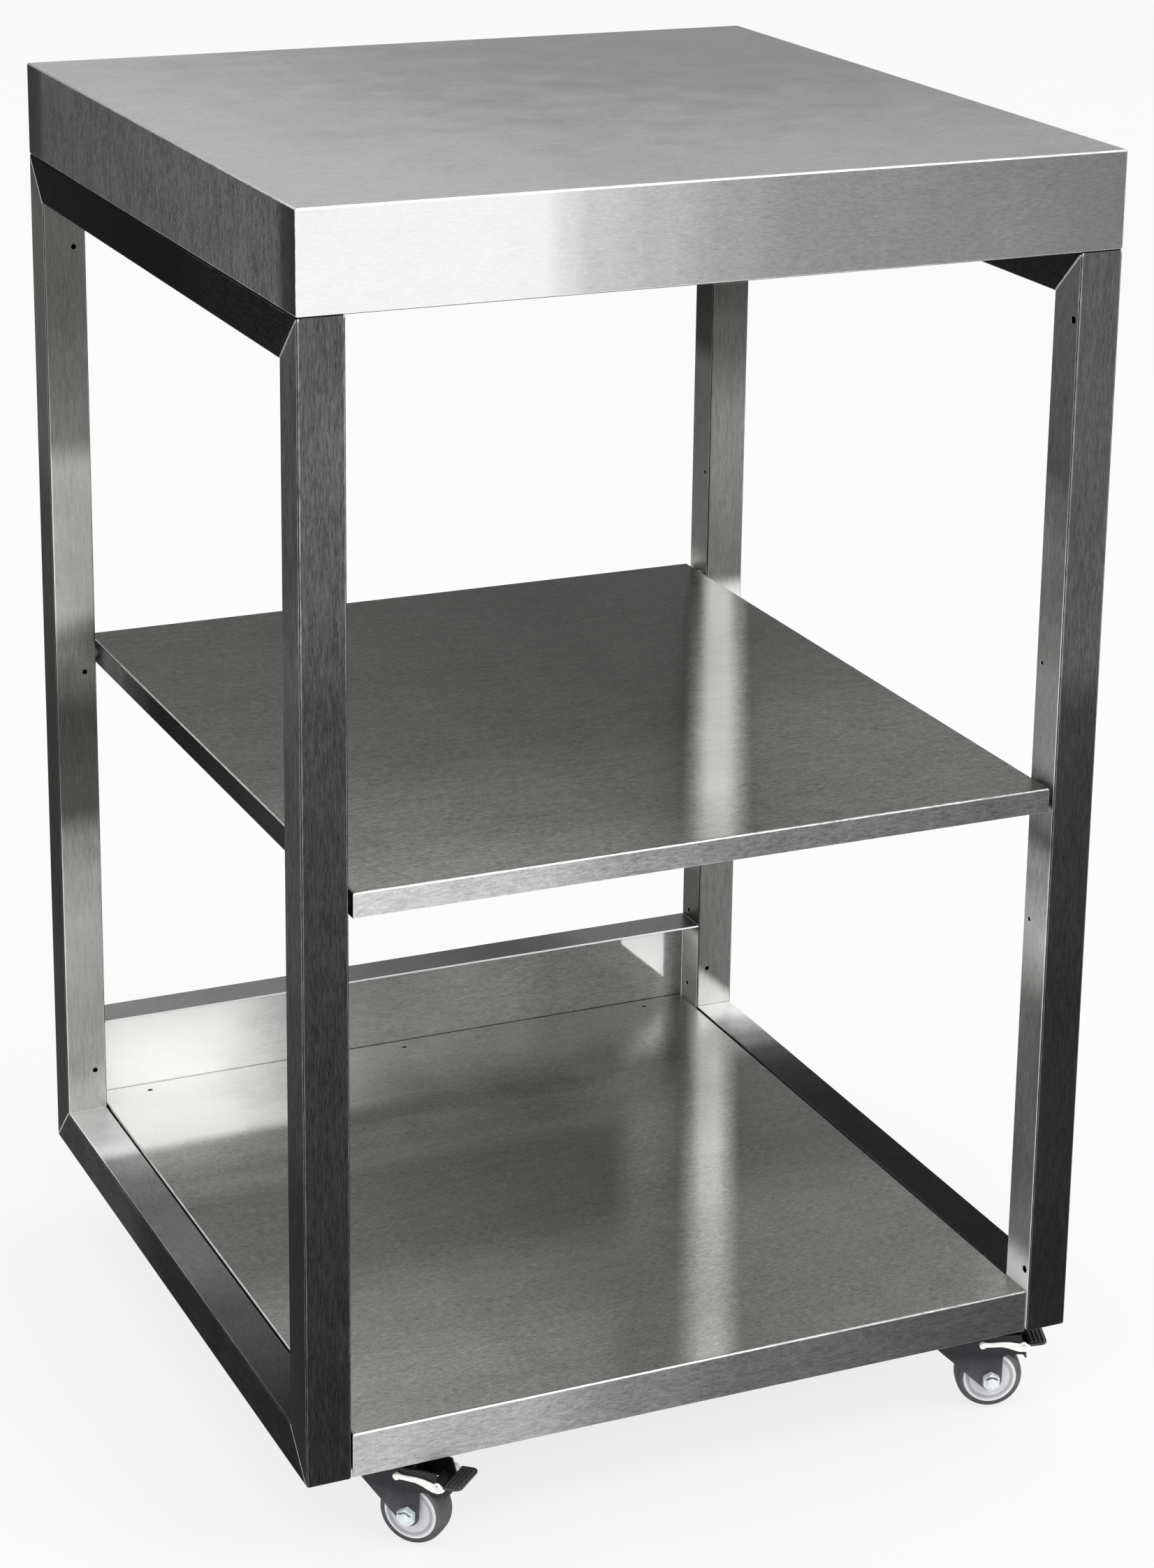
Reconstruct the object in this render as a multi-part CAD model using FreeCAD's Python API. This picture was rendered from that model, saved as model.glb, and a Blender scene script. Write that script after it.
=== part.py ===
import FreeCAD, Part
import math
import os
from FreeCAD import Vector

# Grill cart with storage: two welded side frames of square tube carry a folded worktop,
# a middle shelf and a bottom shelf, and the cart rolls on four braked swivel casters.
# Millimetres, +Z up, the front faces -Y, origin on the floor under the middle of the cart.

# Overall plan and frames
cart_width = 600.0
cart_depth = 600.0
frame_height = 817.0
tube_size = 33.0
tube_wall = 1.5
tube_corner = 2.0

# Worktop, a folded lid with a skirt on four sides and a return along the bottom of it
worktop_sheet = 1.5
worktop_height = 69.5
worktop_return = 33.0
worktop_bend = 1.8

# Middle shelf, a tray turned upside down between the frames
middle_shelf_top = 429.5
middle_shelf_flange = 18.0
middle_shelf_side_gap = 3.0
middle_shelf_rear_recess = 0.5
shelf_sheet = 1.5
shelf_bend = 2.0
shelf_front_recess = 1.0

# Bottom shelf, level with the bottom rails
bottom_shelf_side_gap = 1.0
bottom_shelf_side_flange = 24.0
bottom_shelf_seam = 0.8
bottom_shelf_hole_radius = 2.0
bottom_shelf_hole_spacing = 225.0
bottom_shelf_hole_inset = 14.5

# Rear panel, a folded kerb behind the bottom shelf
panel_sheet = 1.5
panel_bend = 2.0
panel_rise = 76.0
panel_lip_round_share = 0.3

# Cross channels under the bottom shelf, which the casters are bolted to
channel_sheet = 2.5
channel_width = 58.0
channel_rise = 2.0
channel_bend = 3.0
channel_notch_gap = 1.0

# Holes in the uprights
rear_screw_hole_radius = 2.0
rear_screw_hole_inset = 23.5
rear_screw_hole_offset = 341.0
door_pivot_hole_radius = 2.75
door_pivot_hole_inset = 6.5
door_pivot_hole_offset = 360.5
catch_hole_radius = 1.6
catch_hole_inset = 25.0
catch_hole_drop = 301.5
catch_hole_lower = 320.0
panel_hole_radius = 2.0
panel_hole_inset = 13.0
panel_hole_lower = 47.5
panel_hole_upper = 116.0

# Screws
screw_radius = 3.0
screw_clearance = 0.3
screw_head_radius = 5.25
screw_head_height = 3.0
screw_end = 4.0
thread_clearance = 0.05
nut_across_flats = 10.0
nut_height = 5.0
spacer_radius = 7.5
worktop_screw_inset = 100.0
shelf_screw_drop = 10.0

# Caster position and the angle that each one has swivelled to, from +X
caster_inset_x = 71.0
caster_inset_y = 35.0
swivel_front_left = -48.0
swivel_front_right = -20.0
swivel_rear_left = 48.0
swivel_rear_right = 20.0

# Caster
caster_height = 70.0
caster_trail = 24.0
plate_size = 50.0
plate_thickness = 2.5
plate_corner = 4.0
plate_hole_spacing = 38.0
plate_bolt_radius = 3.0
plate_bolt_clearance = 0.2
bolt_across_flats = 10.0
bolt_head_height = 3.2
race_radius = 18.5
race_height = 3.0
race_gap = 0.3
race_round = 1.0
fork_sheet = 2.0
fork_wheel_gap = 1.8
fork_bend = 2.5
fork_race_height = 2.2
fork_nose = 27.0
fork_top_end = 27.0
fork_tail = 50.5
fork_tail_slope = 5.0
fork_body_height = 16.5
fork_leg_half_width = 8.5
fork_shoulder = 4.0
kingpin_radius = 5.0
kingpin_head_radius = 8.0
kingpin_head_height = 2.5
running_clearance = 0.06
wheel_radius = 25.0
wheel_width = 20.0
tyre_depth = 5.0
tyre_crown = 2.0
tyre_flat = 8.0
hub_groove_radius = 16.6
hub_groove_width = 1.4
hub_groove_depth = 0.8
hub_boss_radius = 7.5
hub_boss_gap = 0.5
axle_radius = 4.0
axle_head_across_flats = 12.0
axle_head_height = 4.5
axle_nut_height = 5.0
axle_end = 2.5
axle_tip_round = 1.0
hex_chamfer = 0.8

# Brake pedal and the shoe that it presses on the tyre
pedal_sheet = 1.8
pedal_gap = 0.5
pedal_travel = 10.0
pedal_pivot_x = 16.5
pedal_pivot_drop = 15.2
pedal_arm_height = 4.2
pedal_bend_x = 33.0
pedal_bend_drop = 15.0
pedal_end_x = 47.5
pedal_end_drop = 19.6
pedal_eye_radius = 3.0
pedal_eye_hole_radius = 1.1
pedal_tab_gap = 1.5
pedal_tab_length = 13.5
pedal_tab_drop = 16.0
pedal_tab_lift = 5.0
pedal_tab_corner = 5.0
pedal_rib_height = 0.9
pedal_rib_width = 1.5
pedal_rib_start = 1.9
pedal_rib_pitch = 3.1
pedal_rib_count = 4
pedal_rib_round_share = 0.4
pedal_pin_radius = 1.8
pedal_pin_head_radius = 3.0
pedal_pin_head_height = 1.2
shoe_sheet = 1.5
shoe_side_gap = 0.8
shoe_tyre_gap = 0.5
shoe_low_angle = 24.0
shoe_high_angle = 56.0

# Levels and faces that follow from the sizes above
frame_bottom = caster_height - channel_rise
frame_top = frame_bottom + frame_height
outer_x = cart_width / 2
outer_y = cart_depth / 2
inner_x = outer_x - tube_size
inner_y = outer_y - tube_size
rail_top = frame_bottom + tube_size
channel_web = caster_height
shelf_underside = rail_top - shelf_sheet
fork_inner = wheel_width / 2 + fork_wheel_gap
fork_outer = fork_inner + fork_sheet
fork_top = -(plate_thickness + race_height + race_gap + fork_race_height)
wheel_drop = -(caster_height - wheel_radius)
pedal_inner = fork_outer + pedal_gap
pedal_outer = pedal_inner + pedal_sheet
pedal_tab_start = fork_tail + pedal_tab_gap
pedal_tab_end = pedal_tab_start + pedal_tab_length

CORNERS = {
    "front_left": (-1, -1, swivel_front_left),
    "front_right": (1, -1, swivel_front_right),
    "rear_left": (-1, 1, swivel_rear_left),
    "rear_right": (1, 1, swivel_rear_right),
}


def block(x0, x1, y0, y1, z0, z1):
    """A box between two corners."""
    return Part.makeBox(x1 - x0, y1 - y0, z1 - z0, Vector(x0, y0, z0))


def rod(radius, start, direction, length):
    """A cylinder from a point along a direction."""
    return Part.makeCylinder(radius, length, Vector(*start), Vector(*direction))


def prism(points, direction):
    """A closed polygon swept straight along a direction."""
    corners = [Vector(*p) for p in points]
    return Part.Face(Part.makePolygon(corners + [corners[0]])).extrude(Vector(*direction))


def hexagon(across_flats, start, direction, height):
    """A hexagonal head or nut with its corners chamfered on the outer side."""
    corner = across_flats / math.sqrt(3)
    turns = [math.radians(60 * k) for k in range(6)]
    points = [(corner * math.cos(turn), corner * math.sin(turn), 0) for turn in turns]
    body = prism(points, (0, 0, height))
    cone = Part.makeCone(corner + height - hex_chamfer / 2, corner - hex_chamfer / 2, height)
    body = body.common(cone)
    turn = FreeCAD.Rotation(Vector(0, 0, 1), Vector(*direction))
    body.Placement = FreeCAD.Placement(Vector(*start), turn)
    return body


def edges_along(shape, axis, where):
    """The straight edges of a shape that run along an axis and whose middle passes a test."""
    found = []
    for edge in shape.Edges:
        if not isinstance(edge.Curve, Part.Line):
            continue
        a, b = edge.Vertexes[0].Point, edge.Vertexes[-1].Point
        run = b - a
        if run.Length < 1e-6 or abs(abs(run.dot(axis)) / run.Length - 1) > 1e-6:
            continue
        if where((a + b) * 0.5):
            found.append(edge)
    return found


def near(value, target):
    """Whether two coordinates are the same to a hundredth of a millimetre."""
    return abs(value - target) < 0.01


def cut_all(shape, tools):
    """A shape less each of the tools in turn."""
    for tool in tools:
        shape = shape.cut(tool)
    return shape


def save(name, shape):
    """Writes one sub-part as a STEP file."""
    shape.exportStep("parts/" + name + ".step")


# Side frames


def tube_section(outer, corner):
    """A square with rounded corners about the origin, in the XY plane."""
    half = outer / 2
    body = block(-half, half, -half, half, 0, 1)
    body = body.makeFillet(corner, edges_along(body, Vector(0, 0, 1), lambda p: True))
    return [f for f in body.Faces if near(f.CenterOfMass.z, 0) and near(f.BoundBox.ZLength, 0)][0]


def square_tube(length):
    """A hollow square tube along +Z from the origin."""
    outside = tube_section(tube_size, tube_corner).extrude(Vector(0, 0, length))
    bore_corner = max(tube_corner - tube_wall, tube_wall / 10)
    bore = tube_section(tube_size - 2 * tube_wall, bore_corner).extrude(Vector(0, 0, length))
    return outside.cut(bore)


def mitre_wedge(y_sign, z_sign):
    """The part of a side frame that belongs to one member, between the 45 degree mitres at its ends."""
    half_depth = outer_y + 1
    half_height = frame_height / 2 + 1
    if z_sign:
        points = [(0, -half_depth, z_sign * half_height), (0, half_depth, z_sign * half_height)]
        shift = half_height - half_depth
        points += [(0, 0, z_sign * shift)] if shift >= 0 else [(0, -shift, 0), (0, shift, 0)]
    else:
        shift = half_height - half_depth
        points = [(0, y_sign * half_depth, -half_height), (0, y_sign * half_depth, half_height)]
        points += [(0, 0, shift), (0, 0, -shift)] if shift >= 0 else [(0, -y_sign * shift, 0)]
    centre = Vector(0, 0, frame_bottom + frame_height / 2)
    wedge = prism(points, (2 * outer_x + 2, 0, 0))
    wedge.translate(Vector(-outer_x - 1, 0, 0) + centre)
    return wedge


def upright(side, end):
    """A mitred upright of one side frame, before its holes."""
    body = square_tube(frame_height)
    body.translate(Vector(side * (outer_x - tube_size / 2), end * (outer_y - tube_size / 2), frame_bottom))
    return body.common(mitre_wedge(end, 0))


def rail(side, top):
    """A mitred top or bottom rail of one side frame."""
    body = square_tube(cart_depth)
    body.rotate(Vector(0, 0, 0), Vector(1, 0, 0), 90)
    height = frame_top - tube_size / 2 if top else frame_bottom + tube_size / 2
    body.translate(Vector(side * (outer_x - tube_size / 2), outer_y, height))
    return body.common(mitre_wedge(0, 1 if top else -1))


def inner_wall_hole(side, y, z, radius):
    """A hole through the wall of an upright or rail that faces the inside of the cart."""
    return rod(radius, (side * (inner_x - tube_wall), y, z), (side, 0, 0), 3 * tube_wall)


def front_upright(side):
    """A front upright with the door pivot holes and the catch holes in its inner wall."""
    body = upright(side, -1)
    middle = frame_bottom + frame_height / 2
    tools = []
    for offset in (-door_pivot_hole_offset, door_pivot_hole_offset):
        y = -outer_y + door_pivot_hole_inset
        tools.append(inner_wall_hole(side, y, middle + offset, door_pivot_hole_radius))
    for height in (catch_hole_lower, frame_height - catch_hole_drop):
        y = -outer_y + catch_hole_inset
        tools.append(inner_wall_hole(side, y, frame_bottom + height, catch_hole_radius))
    tools.append(shelf_screw_hole(side, -1))
    return cut_all(body, tools)


def rear_upright(side):
    """A rear upright with screw holes in its front wall and small holes in its inner wall."""
    body = upright(side, 1)
    middle = frame_bottom + frame_height / 2
    tools = []
    for offset in (-rear_screw_hole_offset, 0, rear_screw_hole_offset):
        start = (side * (outer_x - rear_screw_hole_inset), inner_y - tube_wall, middle + offset)
        tools.append(rod(rear_screw_hole_radius, start, (0, 1, 0), 3 * tube_wall))
    for height in (catch_hole_lower, frame_height - catch_hole_drop):
        y = outer_y - catch_hole_inset
        tools.append(inner_wall_hole(side, y, frame_bottom + height, catch_hole_radius))
    for height in (panel_hole_lower, panel_hole_upper):
        y = outer_y - panel_hole_inset
        tools.append(inner_wall_hole(side, y, frame_bottom + height, panel_hole_radius))
    tools.append(shelf_screw_hole(side, 1))
    return cut_all(body, tools)


def top_rail(side):
    """A top rail with the worktop screws' holes through both walls."""
    low = frame_top - 2 * tube_size
    tools = [rod(screw_radius + screw_clearance, (x, y, low), (0, 0, 1), 3 * tube_size)
             for x, y in worktop_screw_places(side)]
    return cut_all(rail(side, True), tools)


# Worktop


def folded_tray(x0, x1, y0, y1, top, depth, sheet, bend):
    """A sheet folded down on four sides, open below, with rounded folds and welded corners."""
    body = block(x0, x1, y0, y1, top - depth, top)
    folds = [e for e in body.Edges if near(e.BoundBox.ZMax, top)]
    body = body.makeFillet(bend, folds)
    hollow = block(x0 + sheet, x1 - sheet, y0 + sheet, y1 - sheet, top - depth - 1, top - sheet)
    return body.cut(hollow)


def worktop_screw_places(side):
    """The plan positions of the worktop screws over one side frame."""
    x = side * (outer_x - tube_size / 2)
    return [(x, -outer_y + worktop_screw_inset), (x, outer_y - worktop_screw_inset)]


def worktop():
    """The folded worktop, with the return that rests on the frames."""
    top = frame_top + worktop_height
    body = block(-outer_x, outer_x, -outer_y, outer_y, frame_top, top)
    body = body.makeFillet(worktop_bend, body.Edges)
    sheet = worktop_sheet
    inside = (outer_x - sheet, outer_y - sheet)
    body = body.cut(block(-inside[0], inside[0], -inside[1], inside[1], frame_top + sheet, top - sheet))
    mouth = (outer_x - worktop_return, outer_y - worktop_return)
    body = body.cut(block(-mouth[0], mouth[0], -mouth[1], mouth[1], frame_top - 1, frame_top + 2 * sheet))
    tools = [rod(screw_radius + screw_clearance, (x, y, frame_top - 1), (0, 0, 1), sheet + 2)
             for side in (-1, 1) for x, y in worktop_screw_places(side)]
    return cut_all(body, tools)


def worktop_screws():
    """Long screws from under the top rails up through the return of the worktop."""
    screws = []
    for side in (-1, 1):
        for x, y in worktop_screw_places(side):
            under = frame_top - tube_size
            head = rod(screw_head_radius, (x, y, under - screw_head_height), (0, 0, 1), screw_head_height)
            rim = [e for e in head.Edges if near(e.BoundBox.ZMin, under - screw_head_height)]
            head = head.makeFillet(screw_head_height / 2, [e for e in rim if near(e.BoundBox.ZLength, 0)])
            length = tube_size + worktop_sheet + nut_height + screw_end / 2
            screws.append(head.fuse(rod(screw_radius, (x, y, under), (0, 0, 1), length)))
    return Part.makeCompound(screws)


def worktop_nuts():
    """Nuts on the worktop screws, inside the worktop."""
    nuts = []
    for side in (-1, 1):
        for x, y in worktop_screw_places(side):
            nut = hexagon(nut_across_flats, (x, y, frame_top + worktop_sheet), (0, 0, 1), nut_height)
            length = worktop_sheet + 2 * nut_height
            nuts.append(nut.cut(rod(screw_radius + thread_clearance, (x, y, frame_top), (0, 0, 1), length)))
    return Part.makeCompound(nuts)


# Middle shelf


def shelf_screw_height():
    """The height of the screws that hold the middle shelf's side flanges to the uprights."""
    return frame_bottom + middle_shelf_top - shelf_screw_drop


def shelf_screw_hole(side, end):
    """The hole for a middle shelf screw in the inner wall of an upright."""
    y = end * (outer_y - tube_size / 2)
    return inner_wall_hole(side, y, shelf_screw_height(), screw_radius + screw_clearance)


def middle_shelf():
    """The middle shelf with screw holes in its side flanges."""
    half = inner_x - middle_shelf_side_gap
    front = -outer_y + shelf_front_recess
    rear = outer_y - middle_shelf_rear_recess
    top = frame_bottom + middle_shelf_top
    body = folded_tray(-half, half, front, rear, top, middle_shelf_flange, shelf_sheet, shelf_bend)
    tools = []
    for side in (-1, 1):
        for end in (-1, 1):
            start = (side * (half - 2 * shelf_sheet), end * (outer_y - tube_size / 2), shelf_screw_height())
            tools.append(rod(screw_radius + screw_clearance, start, (side, 0, 0), 3 * shelf_sheet))
    return cut_all(body, tools)


def shelf_spacers():
    """Spacer rings between the middle shelf and the uprights."""
    rings = []
    for side in (-1, 1):
        for end in (-1, 1):
            inner = inner_x - middle_shelf_side_gap
            start = (side * inner, end * (outer_y - tube_size / 2), shelf_screw_height())
            ring = rod(spacer_radius, start, (side, 0, 0), middle_shelf_side_gap)
            hole = rod(screw_radius + screw_clearance, start, (side, 0, 0), middle_shelf_side_gap)
            rings.append(ring.cut(hole))
    return Part.makeCompound(rings)


def shelf_screws():
    """Button-head screws through the shelf's side flanges and spacers into the uprights."""
    screws = []
    for side in (-1, 1):
        for end in (-1, 1):
            inner = inner_x - middle_shelf_side_gap - shelf_sheet
            y = end * (outer_y - tube_size / 2)
            z = shelf_screw_height()
            head = rod(screw_head_radius, (side * inner, y, z), (-side, 0, 0), screw_head_height)
            face = side * (inner - screw_head_height)
            rim = [e for e in head.Edges if near(e.BoundBox.XMin, face) and near(e.BoundBox.XMax, face)]
            head = head.makeFillet(screw_head_height / 2, rim)
            length = shelf_sheet + middle_shelf_side_gap + tube_wall + screw_end
            screws.append(head.fuse(rod(screw_radius, (side * inner, y, z), (side, 0, 0), length)))
    return Part.makeCompound(screws)


# Bottom shelf, rear panel and cross channels


def bottom_shelf():
    """The bottom shelf: a deep front flange, notched side flanges and three holes near the rear."""
    half = inner_x - bottom_shelf_side_gap
    front = -outer_y + shelf_front_recess
    rear = outer_y - panel_sheet - bottom_shelf_seam
    body = block(-half, half, front, rear, frame_bottom, rail_top)
    folds = edges_along(body, Vector(1, 0, 0), lambda p: near(p.y, front) and near(p.z, rail_top))
    folds += edges_along(body, Vector(0, 1, 0), lambda p: near(p.z, rail_top))
    body = body.makeFillet(shelf_bend, folds)
    body = body.cut(block(-half + shelf_sheet, half - shelf_sheet, front + shelf_sheet, rear + 1,
                          frame_bottom - 1, rail_top - shelf_sheet))
    side_bottom = rail_top - bottom_shelf_side_flange
    inside = front + shelf_sheet
    body = body.cut(block(-half - 1, half + 1, inside, rear + 1, frame_bottom - 1, side_bottom))
    tools = []
    for k in (-1, 0, 1):
        start = (k * bottom_shelf_hole_spacing, outer_y - bottom_shelf_hole_inset, rail_top - 2 * shelf_sheet)
        tools.append(rod(bottom_shelf_hole_radius, start, (0, 0, 1), 3 * shelf_sheet))
    notch = channel_width / 2 + channel_notch_gap
    for end in (-1, 1):
        y0 = channel_middle(end) - notch
        y1 = channel_middle(end) + notch
        tools.append(block(-half - 1, half + 1, y0, y1, frame_bottom - 1, shelf_underside))
    return cut_all(body, tools)


def rear_panel():
    """The rear panel with its top flange folded forward, as deep as the uprights."""
    top = rail_top + panel_rise
    body = block(-inner_x, inner_x, inner_y, outer_y, frame_bottom, top)
    fold = edges_along(body, Vector(1, 0, 0), lambda p: near(p.y, outer_y) and near(p.z, top))
    body = body.makeFillet(panel_bend, fold)
    body = body.cut(block(-inner_x - 1, inner_x + 1, inner_y - 1, outer_y - panel_sheet,
                          frame_bottom - 1, top - panel_sheet))
    lip = edges_along(body, Vector(1, 0, 0), lambda p: near(p.y, inner_y))
    return body.makeFillet(panel_lip_round_share * panel_sheet, lip)


def channel_middle(end):
    """The middle of a cross channel, over the swivel axes of two casters."""
    return end * (outer_y - caster_inset_y)


def cross_channel(end):
    """A channel from rail to rail, open at the top, with the caster plates' bolt holes."""
    middle = channel_middle(end)
    y0 = middle - channel_width / 2
    y1 = middle + channel_width / 2
    body = block(-inner_x, inner_x, y0, y1, channel_web, shelf_underside)
    folds = edges_along(body, Vector(1, 0, 0), lambda p: near(p.z, channel_web))
    body = body.makeFillet(channel_bend, folds)
    body = body.cut(block(-inner_x - 1, inner_x + 1, y0 + channel_sheet, y1 - channel_sheet,
                          channel_web + channel_sheet, shelf_underside + 1))
    radius = plate_bolt_radius + plate_bolt_clearance
    tools = [rod(radius, (x, y, channel_web - 1), (0, 0, 1), channel_sheet + 2)
             for x, y in plate_bolt_places() if y * end > 0]
    return cut_all(body, tools)


# Casters, drawn with the swivel axis as Z, the top of the plate at 0 and the wheel trailing along +X


def caster_axis(corner):
    """The plan position of a caster's swivel axis."""
    side, end, angle = CORNERS[corner]
    return side * (outer_x - caster_inset_x), end * (outer_y - caster_inset_y)


def set_in_place(shape, corner, turned=True):
    """Turns a caster piece to its swivel angle and carries it to its corner."""
    x, y = caster_axis(corner)
    if turned:
        shape.rotate(Vector(0, 0, 0), Vector(0, 0, 1), CORNERS[corner][2])
    shape.translate(Vector(x, y, caster_height))
    return shape


def plate_bolt_places():
    """The plan positions of the bolts of all four caster plates."""
    half = plate_hole_spacing / 2
    places = []
    for corner in CORNERS:
        x, y = caster_axis(corner)
        places += [(x + a * half, y + b * half) for a in (-1, 1) for b in (-1, 1)]
    return places


def caster_bolts():
    """Hex bolts from below through the caster plates and the channels."""
    bolts = []
    under = caster_height - plate_thickness
    for x, y in plate_bolt_places():
        head = hexagon(bolt_across_flats, (x, y, under), (0, 0, -1), bolt_head_height)
        length = plate_thickness + channel_sheet + nut_height + screw_end / 2
        bolts.append(head.fuse(rod(plate_bolt_radius, (x, y, under), (0, 0, 1), length)))
    return Part.makeCompound(bolts)


def caster_nuts():
    """Nuts on the caster bolts, inside the channels."""
    nuts = []
    level = channel_web + channel_sheet
    for x, y in plate_bolt_places():
        nut = hexagon(nut_across_flats, (x, y, level), (0, 0, 1), nut_height)
        hole = rod(plate_bolt_radius + thread_clearance, (x, y, level - 1), (0, 0, 1), nut_height + 2)
        nuts.append(nut.cut(hole))
    return Part.makeCompound(nuts)


def caster_plate():
    """The square top plate with the upper ball race pressed out under it."""
    half = plate_size / 2
    body = block(-half, half, -half, half, -plate_thickness, 0)
    body = body.makeFillet(plate_corner, edges_along(body, Vector(0, 0, 1), lambda p: True))
    race = rod(race_radius, (0, 0, -plate_thickness - race_height), (0, 0, 1), race_height)
    rim = [e for e in race.Edges if near(e.BoundBox.ZMax, -plate_thickness - race_height)]
    body = body.fuse(race.makeFillet(race_round, rim))
    tools = [rod(kingpin_radius, (0, 0, -plate_thickness - race_height - 1), (0, 0, 1), 2 * caster_height)]
    half = plate_hole_spacing / 2
    radius = plate_bolt_radius + plate_bolt_clearance
    for a in (-1, 1):
        for b in (-1, 1):
            start = (a * half, b * half, -2 * plate_thickness)
            tools.append(rod(radius, start, (0, 0, 1), 3 * plate_thickness))
    return cut_all(body, tools).removeSplitter()


def caster_kingpin():
    """The rivet that holds the fork under the plate and lets it swivel."""
    length = -fork_top + fork_sheet + race_gap
    pin = rod(kingpin_radius, (0, 0, -length), (0, 0, 1), length)
    head = rod(kingpin_head_radius, (0, 0, -length - kingpin_head_height), (0, 0, 1), kingpin_head_height)
    rim = [e for e in head.Edges if near(e.BoundBox.ZMax, -length - kingpin_head_height)]
    return pin.fuse(head.makeFillet(kingpin_head_height / 2, rim)).removeSplitter()


def fork_profile():
    """The fork seen from the side: nose, sloping leg around the axle, shoulder and tail."""
    axle = (caster_trail, wheel_drop)
    body_bottom = fork_top - fork_body_height
    r = fork_leg_half_width
    nose = (-fork_nose, fork_top - fork_sheet)
    gap = math.hypot(axle[0] - nose[0], axle[1] - nose[1])
    slope = math.atan2(axle[1] - nose[1], axle[0] - nose[0]) - math.asin(r / gap)
    touch = (axle[0] + r * math.sin(slope), axle[1] - r * math.cos(slope))
    low = math.radians(-45)
    turn = (axle[0] + r * math.cos(low), axle[1] + r * math.sin(low))
    right = (axle[0] + r, axle[1])
    shoulder = fork_shoulder
    tail_top = fork_tail - fork_tail_slope

    def at(p):
        return Vector(p[0], 0, p[1])

    corner = (right[0], body_bottom)
    quarter = shoulder * (1 - math.sqrt(0.5))
    edges = [
        Part.LineSegment(at((-fork_nose, fork_top)), at(nose)).toShape(),
        Part.LineSegment(at(nose), at(touch)).toShape(),
        Part.Arc(at(touch), at(turn), at(right)).toShape(),
        Part.LineSegment(at(right), at((corner[0], corner[1] - shoulder))).toShape(),
        Part.Arc(at((corner[0], corner[1] - shoulder)), at((corner[0] + quarter, corner[1] - quarter)),
                 at((corner[0] + shoulder, corner[1]))).toShape(),
        Part.LineSegment(at((corner[0] + shoulder, corner[1])), at((fork_tail, body_bottom))).toShape(),
        Part.LineSegment(at((fork_tail, body_bottom)), at((tail_top, fork_top))).toShape(),
        Part.LineSegment(at((tail_top, fork_top)), at((-fork_nose, fork_top))).toShape(),
    ]
    return Part.Face(Part.Wire(edges))


def caster_fork():
    """The folded fork with the lower ball race on top and the holes for its pins."""
    profile = fork_profile()
    profile.translate(Vector(0, -fork_outer, 0))
    body = profile.extrude(Vector(0, 2 * fork_outer, 0))
    folds = edges_along(body, Vector(1, 0, 0), lambda p: near(p.z, fork_top))
    body = body.makeFillet(fork_bend, folds)
    low = 2 * wheel_drop
    under = fork_top - fork_sheet
    body = body.cut(block(-2 * fork_nose, 2 * fork_tail, -fork_inner, fork_inner, low, under))
    body = body.cut(block(fork_top_end, 2 * fork_tail, -fork_inner, fork_inner, low, fork_top + 1))
    race = rod(race_radius, (0, 0, fork_top - fork_sheet / 2), (0, 0, 1), fork_race_height + fork_sheet / 2)
    rim = [e for e in race.Edges if near(e.BoundBox.ZMin, fork_top + fork_race_height)]
    body = body.fuse(race.makeFillet(race_round, rim))
    tools = [rod(kingpin_radius + running_clearance, (0, 0, low), (0, 0, 1), -low)]
    pins = ((axle_radius, caster_trail, wheel_drop), (pedal_pin_radius, pedal_pivot_x, -pedal_pivot_drop))
    for radius, x, z in pins:
        tools.append(rod(radius, (x, -2 * fork_outer, z), (0, 1, 0), 4 * fork_outer))
    return cut_all(body, tools).removeSplitter()


def wheel_core():
    """The wheel's rigid centre, with a ring groove on each face and a boss that meets the fork."""
    half = wheel_width / 2
    rim_radius = wheel_radius - tyre_depth
    body = rod(rim_radius, (0, -half, 0), (0, 1, 0), wheel_width)
    boss = fork_inner - hub_boss_gap
    body = body.fuse(rod(hub_boss_radius, (0, -boss, 0), (0, 1, 0), 2 * boss))
    for sign in (-1, 1):
        start = (0, sign * (half - hub_groove_depth), 0)
        depth = 2 * hub_groove_depth
        ring = rod(hub_groove_radius + hub_groove_width / 2, start, (0, sign, 0), depth)
        ring = ring.cut(rod(hub_groove_radius - hub_groove_width / 2, start, (0, sign, 0), depth))
        body = body.cut(ring)
    body = body.cut(rod(axle_radius + running_clearance, (0, -wheel_width, 0), (0, 1, 0), 2 * wheel_width))
    body.translate(Vector(caster_trail, 0, wheel_drop))
    return body


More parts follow.
